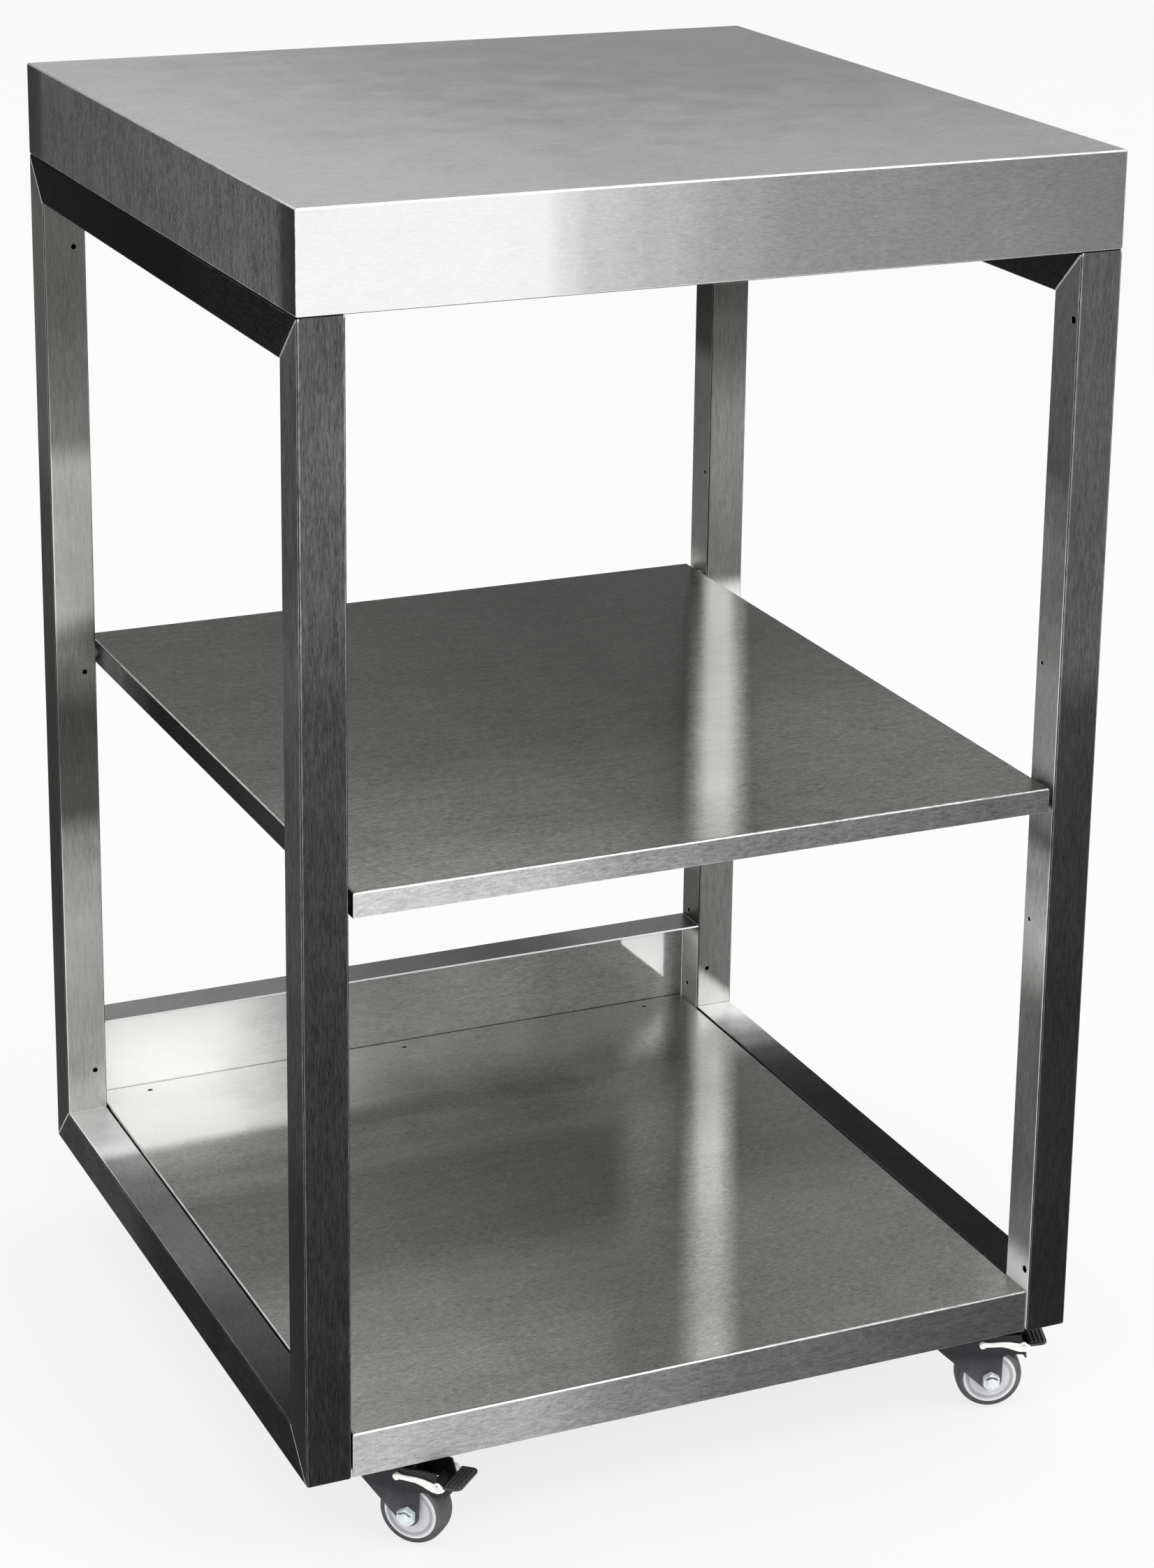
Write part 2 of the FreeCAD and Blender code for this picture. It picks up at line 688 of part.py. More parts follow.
def wheel_tyre():
    """The tyre, with a flat tread between two round shoulders."""
    half = wheel_width / 2
    flat = tyre_flat / 2
    inner = wheel_radius - tyre_depth
    side = wheel_radius - tyre_crown
    run = half - flat
    shoulder = (run ** 2 + tyre_crown ** 2) / (2 * tyre_crown)
    half_turn = math.asin(run / shoulder) / 2
    middle_y = flat + shoulder * math.sin(half_turn)
    middle_r = wheel_radius - shoulder * (1 - math.cos(half_turn))

    def at(y, r):
        return Vector(r, y, 0)

    edges = [
        Part.LineSegment(at(-half, inner), at(half, inner)).toShape(),
        Part.LineSegment(at(half, inner), at(half, side)).toShape(),
        Part.Arc(at(half, side), at(middle_y, middle_r), at(flat, wheel_radius)).toShape(),
        Part.LineSegment(at(flat, wheel_radius), at(-flat, wheel_radius)).toShape(),
        Part.Arc(at(-flat, wheel_radius), at(-middle_y, middle_r), at(-half, side)).toShape(),
        Part.LineSegment(at(-half, side), at(-half, inner)).toShape(),
    ]
    body = Part.Face(Part.Wire(edges)).revolve(Vector(0, 0, 0), Vector(0, 1, 0), 360)
    body.translate(Vector(caster_trail, 0, wheel_drop))
    return body


def axle_bolt():
    """The axle bolt through both legs, its head on the far side of the photographed face."""
    start = (caster_trail, fork_outer, wheel_drop)
    head = hexagon(axle_head_across_flats, start, (0, 1, 0), axle_head_height)
    length = 2 * fork_outer + axle_nut_height + axle_end
    shank = rod(axle_radius, start, (0, -1, 0), length)
    tip = [e for e in shank.Edges if near(e.BoundBox.YMax, fork_outer - length)]
    return head.fuse(shank.makeFillet(axle_tip_round, tip))


def axle_nut():
    """The nut on the axle bolt."""
    start = (caster_trail, -fork_outer, wheel_drop)
    nut = hexagon(axle_head_across_flats, start, (0, -1, 0), axle_nut_height)
    return nut.cut(rod(axle_radius + thread_clearance, start, (0, -1, 0), 2 * axle_nut_height))


def pedal_arm(inner, outer):
    """One arm of the pedal, between two planes beside the fork, with an eye near its end."""
    half = pedal_arm_height / 2
    start = (pedal_pivot_x, -pedal_pivot_drop)
    bend = (pedal_bend_x, -pedal_bend_drop)
    end = (pedal_end_x, -pedal_end_drop)
    tab = (pedal_tab_start, -pedal_tab_drop)
    thick = (0, outer - inner, 0)
    arm = rod(half, (start[0], inner, start[1]), (0, 1, 0), outer - inner)
    for a, b in ((start, bend), (bend, end), (end, tab)):
        run = Vector(b[0] - a[0], 0, b[1] - a[1])
        run.normalize()
        across = Vector(-run.z * half, 0, run.x * half)
        upper = [(p[0] + across.x, inner, p[1] + across.z) for p in (a, b)]
        lower = [(p[0] - across.x, inner, p[1] - across.z) for p in (b, a)]
        arm = arm.fuse(prism(upper + lower, thick))
        arm = arm.fuse(rod(half, (b[0], inner, b[1]), (0, 1, 0), outer - inner))
    eye = (pedal_end_x, inner, -pedal_end_drop + pedal_eye_radius)
    arm = arm.fuse(rod(pedal_eye_radius, eye, (0, 1, 0), outer - inner))
    return arm.cut(rod(pedal_eye_hole_radius, eye, (0, 1, 0), outer - inner))


def lift_tab(shape):
    """Tilts a piece up about the edge where the pedal's tab begins."""
    shape.rotate(Vector(pedal_tab_start, 0, -pedal_tab_drop), Vector(0, 1, 0), -pedal_tab_lift)
    return shape


def brake_pedal():
    """The brake pedal: two arms beside the fork and a ribbed tab that bridges them."""
    body = pedal_arm(-pedal_outer, -pedal_inner).fuse(pedal_arm(pedal_inner, pedal_outer))
    drop = -pedal_tab_drop
    tab = block(pedal_tab_start, pedal_tab_end, -pedal_outer, pedal_outer,
                drop - pedal_sheet / 2, drop + pedal_sheet / 2)
    corners = edges_along(tab, Vector(0, 0, 1), lambda p: near(p.x, pedal_tab_end))
    tab = tab.makeFillet(pedal_tab_corner, corners)
    half_rib = pedal_outer - pedal_tab_corner / 2
    for k in range(pedal_rib_count):
        x = pedal_tab_start + pedal_rib_start + k * pedal_rib_pitch
        rib = block(x - pedal_rib_width / 2, x + pedal_rib_width / 2, -half_rib, half_rib,
                    drop, drop + pedal_sheet / 2 + pedal_rib_height)
        crest = edges_along(rib, Vector(0, 1, 0), lambda p: p.z > drop + pedal_sheet / 2)
        tab = tab.fuse(rib.makeFillet(pedal_rib_round_share * pedal_rib_width, crest))
    body = body.fuse(lift_tab(tab))
    start = (pedal_pivot_x, -2 * pedal_outer, -pedal_pivot_drop)
    hole = rod(pedal_pin_radius + running_clearance, start, (0, 1, 0), 4 * pedal_outer)
    return body.cut(hole).removeSplitter()


def brake_shoe():
    """The curved plate under the pedal's tab that meets the tyre when the pedal is down."""
    half = fork_inner - shoe_side_gap
    inner = wheel_radius + shoe_tyre_gap
    outer = inner + shoe_sheet

    def at(radius, angle):
        turn = math.radians(angle)
        return Vector(caster_trail + radius * math.cos(turn), 0, wheel_drop + radius * math.sin(turn))

    middle = (shoe_low_angle + shoe_high_angle) / 2
    edges = [
        Part.Arc(at(inner, shoe_low_angle), at(inner, middle), at(inner, shoe_high_angle)).toShape(),
        Part.LineSegment(at(inner, shoe_high_angle), at(outer, shoe_high_angle)).toShape(),
        Part.Arc(at(outer, shoe_high_angle), at(outer, middle), at(outer, shoe_low_angle)).toShape(),
        Part.LineSegment(at(outer, shoe_low_angle), at(inner, shoe_low_angle)).toShape(),
    ]
    pad = Part.Face(Part.Wire(edges)).extrude(Vector(0, 2 * half, 0))
    pad.translate(Vector(0, -half, 0))
    pad.rotate(Vector(pedal_pivot_x, 0, -pedal_pivot_drop), Vector(0, 1, 0), -pedal_travel)
    top = -pedal_tab_drop - pedal_sheet / 2
    flange_end = pedal_tab_end - pedal_tab_corner
    flange = lift_tab(block(pedal_tab_start, flange_end, -half, half, top - shoe_sheet, top))
    root = lift_tab(Part.Vertex(Vector(pedal_tab_start, 0, top - shoe_sheet / 2))).Point
    tip = at(inner + shoe_sheet / 2, middle)
    turn = FreeCAD.Rotation(Vector(0, 1, 0), -pedal_travel)
    pivot = Vector(pedal_pivot_x, 0, -pedal_pivot_drop)
    tip = pivot + turn.multVec(tip - pivot)
    run = root - tip
    run.normalize()
    across = Vector(-run.z, 0, run.x) * (shoe_sheet / 2)
    points = [root + across, tip + across, tip - across, root - across]
    web = prism([(p.x, -half, p.z) for p in points], (0, 2 * half, 0))
    return pad.fuse(web).fuse(flange).removeSplitter()


def pedal_pin():
    """The rivet that the pedal turns on, through the fork, with a head at each end."""
    reach = pedal_outer + pedal_gap
    start = (pedal_pivot_x, -reach, -pedal_pivot_drop)
    pin = rod(pedal_pin_radius, start, (0, 1, 0), 2 * reach)
    for sign in (-1, 1):
        seat = (pedal_pivot_x, sign * reach, -pedal_pivot_drop)
        head = rod(pedal_pin_head_radius, seat, (0, sign, 0), pedal_pin_head_height)
        outer = sign * (reach + pedal_pin_head_height)
        rim = [e for e in head.Edges if near(e.BoundBox.YMin, outer) and near(e.BoundBox.YMax, outer)]
        pin = pin.fuse(head.makeFillet(pedal_pin_head_height / 2, rim))
    return pin.removeSplitter()


def build_frames():
    """Writes the eight members of the two side frames."""
    for side, side_name in ((-1, "left"), (1, "right")):
        save(side_name + "_front_upright", front_upright(side))
        save(side_name + "_rear_upright", rear_upright(side))
        save(side_name + "_top_rail", top_rail(side))
        save(side_name + "_bottom_rail", rail(side, False))


def build_sheet_parts():
    """Writes the worktop, the shelves, the rear panel and the cross channels."""
    save("worktop", worktop())
    save("middle_shelf", middle_shelf())
    save("bottom_shelf", bottom_shelf())
    save("rear_panel", rear_panel())
    save("front_cross_channel", cross_channel(-1))
    save("rear_cross_channel", cross_channel(1))


def build_fasteners():
    """Writes each group of alike screws, nuts and spacers."""
    save("worktop_screws", worktop_screws())
    save("worktop_nuts", worktop_nuts())
    save("shelf_screws", shelf_screws())
    save("shelf_spacers", shelf_spacers())
    save("caster_bolts", caster_bolts())
    save("caster_nuts", caster_nuts())


def build_casters():
    """Writes the pieces of the four casters."""
    pieces = {
        "fork": caster_fork, "wheel_core": wheel_core, "tyre": wheel_tyre,
        "axle_bolt": axle_bolt, "axle_nut": axle_nut, "brake_pedal": brake_pedal, "brake_shoe": brake_shoe,
        "pedal_pin": pedal_pin,
    }
    for corner in CORNERS:
        save(corner + "_caster_plate", set_in_place(caster_plate(), corner, turned=False))
        save(corner + "_kingpin", set_in_place(caster_kingpin(), corner, turned=False))
        for name, make in pieces.items():
            save(corner + "_" + name, set_in_place(make(), corner))


os.makedirs("parts", exist_ok=True)
build_frames()
build_sheet_parts()
build_fasteners()
build_casters()
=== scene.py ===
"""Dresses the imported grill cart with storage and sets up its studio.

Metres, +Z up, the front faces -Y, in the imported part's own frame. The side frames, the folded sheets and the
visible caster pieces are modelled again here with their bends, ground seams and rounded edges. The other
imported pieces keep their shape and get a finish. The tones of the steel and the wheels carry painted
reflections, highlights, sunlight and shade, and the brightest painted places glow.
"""
from __future__ import annotations

import logging
import math
from dataclasses import dataclass, field
from enum import Enum
from typing import Callable, Sequence

import bmesh
import bpy
from mathutils import Matrix, Vector


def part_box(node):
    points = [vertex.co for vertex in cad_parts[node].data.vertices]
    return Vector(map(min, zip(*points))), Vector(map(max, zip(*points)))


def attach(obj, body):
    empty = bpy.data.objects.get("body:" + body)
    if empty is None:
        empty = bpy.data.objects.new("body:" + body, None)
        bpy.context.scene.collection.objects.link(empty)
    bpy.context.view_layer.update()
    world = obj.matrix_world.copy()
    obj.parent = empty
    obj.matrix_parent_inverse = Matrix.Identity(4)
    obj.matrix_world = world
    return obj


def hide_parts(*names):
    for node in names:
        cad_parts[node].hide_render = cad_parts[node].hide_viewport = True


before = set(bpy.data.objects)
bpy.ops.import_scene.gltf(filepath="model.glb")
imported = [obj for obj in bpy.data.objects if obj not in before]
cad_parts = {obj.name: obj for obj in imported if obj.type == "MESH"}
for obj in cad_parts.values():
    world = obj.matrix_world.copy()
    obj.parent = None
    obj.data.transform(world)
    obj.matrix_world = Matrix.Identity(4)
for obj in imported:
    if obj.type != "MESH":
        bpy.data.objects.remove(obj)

LOG = logging.getLogger("grill_cart")
MM = 0.001
NEAR = 2e-5
STRAIGHT = 0.999
DOUBLED = 1e-6
HALF_CART = 0.3
FRAME_FOOT = 0.068
FRAME_TOP = 0.885

Triple = tuple[float, float, float]
Pair = tuple[float, float]
Stops = tuple[Pair, ...]
Test = Callable[[Vector, Vector], bool]
Numbers = Sequence[float]
Node = bpy.types.Node
Tree = bpy.types.NodeTree
Socket = bpy.types.NodeSocket
Material = bpy.types.Material

ORIGIN: Triple = (0.0, 0.0, 0.0)
ONES: Triple = (1.0, 1.0, 1.0)
NEUTRAL: Triple = (1.0, 0.999, 0.996)
WARM: Triple = (1.0, 0.991, 0.950)


class Face(Enum):
    """The six directions that a face of the cart can look in, as outward normals."""

    FRONT = (0.0, -1.0, 0.0)
    BACK = (0.0, 1.0, 0.0)
    LEFT = (-1.0, 0.0, 0.0)
    RIGHT = (1.0, 0.0, 0.0)
    TOP = (0.0, 0.0, 1.0)
    UNDER = (0.0, 0.0, -1.0)


class Axis(Enum):
    """An axis of the cart, as the index of its coordinate."""

    X = 0
    Y = 1
    Z = 2


class Pick(Enum):
    """What a selection picks, as the edit mode names it."""

    POINTS = "VERT"
    EDGES = "EDGE"
    FACES = "FACE"


class Corner(Enum):
    """The four casters, as the side, the end and the angle that each has swivelled to."""

    front_left = (-1, -1, -48.0)
    front_right = (1, -1, -20.0)
    rear_left = (-1, 1, 48.0)
    rear_right = (1, 1, 20.0)


def linear(tone: float) -> float:
    """Turns a tone as seen on a screen, from 0 to 1, into the linear value that a shader takes."""
    return tone / 12.92 if tone <= 0.04045 else ((tone + 0.055) / 1.055) ** 2.4


def same(a: float, b: float) -> bool:
    """Says whether two coordinates are the same to a fiftieth of a millimetre."""
    return abs(a - b) < NEAR


class Bench:
    """One mesh piece on the bench, shaped with the edit mode's operators."""

    def __init__(self, name: str, thing: bpy.types.Object) -> None:
        """Takes an object onto the bench.

        Args:
            name: The piece's name.
            thing: The object.
        """
        self.thing = thing
        self.thing.name = name
        self.thing.data.name = name

    @classmethod
    def box(cls, name: str, low: Numbers, high: Numbers) -> Bench:
        """Starts a piece from a cube between two corners.

        Args:
            name: The piece's name.
            low: The lowest corner.
            high: The highest corner.

        Returns:
            The bench with the cube, its size and place in its mesh.
        """
        low, high = Vector(low), Vector(high)
        bpy.ops.object.select_all(action="DESELECT")
        bpy.ops.mesh.primitive_cube_add(size=1, location=(low + high) / 2)
        bench = cls(name, bpy.context.object)
        bench.thing.scale = high - low
        bench.settle()
        return bench

    @classmethod
    def rod(cls, name: str, radius: float, start: Numbers, end: Numbers,
            sides: int = 48) -> Bench:
        """Starts a piece from a cylinder between two points.

        Args:
            name: The piece's name.
            radius: The cylinder's radius.
            start: The middle of one end.
            end: The middle of the other end.
            sides: How many flat sides the cylinder has.

        Returns:
            The bench with the cylinder, its place in its mesh.
        """
        start, end = Vector(start), Vector(end)
        run = end - start
        bpy.ops.object.select_all(action="DESELECT")
        bpy.ops.mesh.primitive_cylinder_add(vertices=sides, radius=radius, depth=run.length,
                                            location=(start + end) / 2,
                                            rotation=run.to_track_quat("Z", "Y").to_euler())
        bench = cls(name, bpy.context.object)
        bench.settle()
        return bench

    @classmethod
    def outline(cls, name: str, points: Sequence[Numbers], closed: bool = True) -> Bench:
        """Starts a piece from a chain of edges, drawn point by point from one merged corner.

        Args:
            name: The piece's name.
            points: The chain's points in order.
            closed: Whether the last point is joined to the first.

        Returns:
            The bench, in object mode, with the chain as its mesh.
        """
        bpy.ops.object.select_all(action="DESELECT")
        bpy.ops.mesh.primitive_plane_add(size=MM, location=points[0])
        bench = cls(name, bpy.context.object)
        bench.settle()
        bench.edit_points()
        bpy.ops.mesh.merge(type="CENTER")
        for before, after in zip(points, points[1:]):
            step = Vector(after) - Vector(before)
            bpy.ops.mesh.extrude_vertices_move(TRANSFORM_OT_translate={"value": step})
        if closed:
            first, last = Vector(points[0]), Vector(points[-1])
            bench.pick(Pick.POINTS, lambda p, n: min((p - first).length, (p - last).length) < NEAR)
            bpy.ops.mesh.edge_face_add()
        bench.rest()
        return bench

    def only(self) -> None:
        """Selects this piece alone and makes it the active one."""
        bpy.ops.object.select_all(action="DESELECT")
        self.thing.select_set(True)
        bpy.context.view_layer.objects.active = self.thing

    def settle(self) -> None:
        """Moves the object's place, turn and size into its mesh."""
        self.only()
        bpy.ops.object.transform_apply(location=True, rotation=True, scale=True)

    def edit(self) -> None:
        """Goes into edit mode on this piece."""
        self.only()
        bpy.ops.object.mode_set(mode="EDIT")

    def edit_points(self) -> None:
        """Goes into edit mode with every point of the piece selected."""
        self.edit()
        bpy.ops.mesh.select_mode(type=Pick.POINTS.value)
        bpy.ops.mesh.select_all(action="SELECT")

    def rest(self) -> None:
        """Goes back to object mode."""
        bpy.ops.object.mode_set(mode="OBJECT")

    def pick(self, what: Pick, test: Test) -> None:
        """Selects what passes a test, in edit mode.

        Args:
            what: Whether points, edges or faces are picked.
            test: Takes the middle and the normal of a point or face, or the direction of an edge.
        """
        bpy.ops.mesh.select_mode(type=what.value)
        bpy.ops.mesh.select_all(action="DESELECT")
        mesh = bmesh.from_edit_mesh(self.thing.data)
        mesh.normal_update()
        if what is Pick.POINTS:
            found = [v for v in mesh.verts if test(v.co, v.normal)]
        elif what is Pick.EDGES:
            ends = [(e, e.verts[0].co, e.verts[1].co) for e in mesh.edges]
            found = [e for e, a, b in ends if test((a + b) / 2, (b - a).normalized())]
        else:
            found = [f for f in mesh.faces if test(f.calc_center_median(), f.normal)]
        for one in found:
            one.select_set(True)
        mesh.select_flush_mode()
        bmesh.update_edit_mesh(self.thing.data)

    def move(self, step: Numbers) -> None:
        """Moves what is selected."""
        bpy.ops.transform.translate(value=step)

    def grow(self, factors: Numbers, middle: Numbers) -> None:
        """Scales what is selected about a point."""
        bpy.ops.transform.resize(value=factors, center_override=middle)

    def pull(self, step: Numbers) -> None:
        """Extrudes what is selected along a step."""
        bpy.ops.mesh.extrude_region_move(TRANSFORM_OT_translate={"value": step})

    def inset(self, width: float) -> None:
        """Insets the selected faces."""
        bpy.ops.mesh.inset(thickness=width, use_even_offset=True)

    def round_where(self, test: Test, radius: float, steps: int) -> None:
        """Goes into edit mode, stays in it and rounds the edges that pass a test.

        Args:
            test: Takes the middle and the direction of an edge.
            radius: The radius of the rounding.
            steps: How many steps it has.
        """
        self.edit()
        self.pick(Pick.EDGES, test)
        bpy.ops.mesh.bevel(offset=radius, offset_type="OFFSET", segments=steps, profile=0.5, affect="EDGES",
                           clamp_overlap=False)

    def lean(self, angle: float, middle: Numbers) -> None:
        """Turns the whole piece about a line that runs along Y.

        Args:
            angle: How far it turns.
            middle: A point on the line.
        """
        self.edit_points()
        bpy.ops.transform.rotate(value=angle, orient_axis="Y", center_override=middle)
        self.rest()

    def thicken(self, step: Numbers) -> None:
        """Fills a closed outline and pulls it into a closed solid.

        Args:
            step: How far and which way it is pulled.
        """
        self.edit_points()
        bpy.ops.mesh.edge_face_add()
        self.pull(step)
        self.face_out()
        self.rest()

    def turn_round(self, middle: Numbers, axis: Numbers, steps: int) -> None:
        """Spins an outline all the way round an axis into a closed solid.

        Args:
            middle: A point on the axis.
            axis: The axis's direction.
            steps: How many steps the full turn takes.
        """
        self.edit_points()
        bpy.ops.mesh.spin(steps=steps, angle=math.tau, center=middle, axis=axis)
        self.face_out()
        self.rest()

    def face_out(self) -> None:
        """Merges doubled points and turns the faces outwards, in edit mode."""
        bpy.ops.mesh.select_all(action="SELECT")
        bpy.ops.mesh.remove_doubles(threshold=DOUBLED)
        bpy.ops.mesh.normals_make_consistent(inside=False)

    def combine(self, other: Bench, operation: str) -> None:
        """Joins, cuts or meets this piece with another one, which is used up.

        Args:
            other: The other piece.
            operation: UNION, DIFFERENCE or INTERSECT.
        """
        self.only()
        step = self.thing.modifiers.new("combine", "BOOLEAN")
        step.operation = operation
        step.solver = "EXACT"
        step.object = other.thing
        bpy.ops.object.modifier_apply(modifier=step.name)
        bpy.data.objects.remove(other.thing)

    def cut(self, *others: Bench) -> None:
        """Cuts other pieces out of this one, in turn."""
        for other in others:
            self.combine(other, "DIFFERENCE")

    def add(self, *others: Bench) -> None:
        """Welds other pieces to this one, in turn."""
        for other in others:
            self.combine(other, "UNION")

    def drill(self, radius: float, start: Numbers, end: Numbers, sides: int = 32) -> None:
        """Bores a round hole from one point to another."""
        self.cut(Bench.rod("drill", radius, start, end, sides))

    def soften(self, radius: float, steps: int = 2, angle: float = 40.0) -> None:
        """Rounds every edge that is sharper than an angle.

        Args:
            radius: The width of the rounding.
            steps: How many steps it has.
            angle: The least angle of an edge that is rounded, in degrees.
        """
        self.only()
        step = self.thing.modifiers.new("soften", "BEVEL")
        step.width = radius
        step.segments = steps
        step.limit_method = "ANGLE"
        step.angle_limit = math.radians(angle)
        step.use_clamp_overlap = False
        bpy.ops.object.modifier_apply(modifier=step.name)

    def polish(self, angle: float = 32.0) -> None:
        """Shades the piece smooth, with its flat faces kept flat.

        Args:
            angle: The greatest angle between faces that are shaded as one, in degrees.
        """
        self.only()
        bpy.ops.object.shade_smooth_by_angle(angle=math.radians(angle))
        step = self.thing.modifiers.new("even_normals", "WEIGHTED_NORMAL")
        step.keep_sharp = True
        bpy.ops.object.modifier_apply(modifier=step.name)

    def copy(self, name: str) -> Bench:
        """Copies the piece, with a mesh of its own.

        Args:
            name: The copy's name.

        Returns:
            The copy.
        """
        self.only()
        bpy.ops.object.duplicate(linked=False)
        return Bench(name, bpy.context.object)

    def place(self, angle: float, step: Numbers) -> None:
        """Turns the piece about the upright axis through the origin and carries it off.

        Args:
            angle: How far it turns.
            step: How far and which way it is carried.
        """
        self.thing.rotation_euler = (0.0, 0.0, angle)
        self.thing.location = step
        self.settle()

    def discard(self) -> None:
        """Takes the piece off the bench for good."""
        bpy.data.objects.remove(self.thing)

    def mark_rims(self, least: float = 0.985) -> None:
        """Writes the face attribute rim, 1 on faces that look along none of the three axes.

        Args:
            least: How near to an axis a face looks that isn't a rim, as a cosine.
        """
        rim = self.thing.data.attributes.new("rim", "FLOAT", "FACE")
        values = [float(max(abs(c) for c in f.normal) < least) for f in self.thing.data.polygons]
        rim.data.foreach_set("value", values)

    def mark_own_place(self) -> None:
        """Writes the point attribute own_place, the piece's coordinates before it is turned and carried."""
        own = self.thing.data.attributes.new("own_place", "FLOAT_VECTOR", "POINT")
        own.data.foreach_set("vector", [c for v in self.thing.data.vertices for c in v.co])

    def dress(self, finishes: dict[Face, Material]) -> None:
        """Gives each face the material of the direction that it looks in most.

        Args:
            finishes: The material of each direction, of which some may be left out.
        """
        materials = list(dict.fromkeys(finishes.values()))
        for material in materials:
            self.thing.data.materials.append(material)
        slots = [(Vector(face.value), materials.index(material)) for face, material in finishes.items()]
        for polygon in self.thing.data.polygons:
            polygon.material_index = max(slots, key=lambda s: polygon.normal.dot(s[0]))[1]

    def line(self, low: Vector, high: Vector, material: Material) -> None:
        """Gives a material to the faces whose middles lie inside a box, such as a tube's bore.

        Args:
            low: The box's lowest corner.
            high: Its highest corner.
            material: The material.
        """
        self.thing.data.materials.append(material)
        for polygon in self.thing.data.polygons:
            if all(a < c < b for a, c, b in zip(low, polygon.center, high)):
                polygon.material_index = len(self.thing.data.materials) - 1

    def coat(self, material: Material) -> None:
        """Gives the whole piece one material."""
        self.thing.data.materials.clear()
        self.thing.data.materials.append(material)

    def hand_over(self, body: str, slot: str, *nodes: str) -> None:
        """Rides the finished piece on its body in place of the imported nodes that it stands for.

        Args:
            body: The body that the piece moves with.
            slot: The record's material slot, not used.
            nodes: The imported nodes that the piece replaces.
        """
        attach(self.thing, body)
        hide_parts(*nodes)
        LOG.info("%s: %d faces, rides on %s", self.thing.name, len(self.thing.data.polygons), body)


def arc(middle: Numbers, radius: float, start: float, end: float, steps: int) -> list[Pair]:
    """Lists the points of an arc about a middle, both ends included, with its angles in degrees."""
    turns = [math.radians(start + (end - start) * k / steps) for k in range(steps + 1)]
    return [(middle[0] + radius * math.cos(t), middle[1] + radius * math.sin(t)) for t in turns]


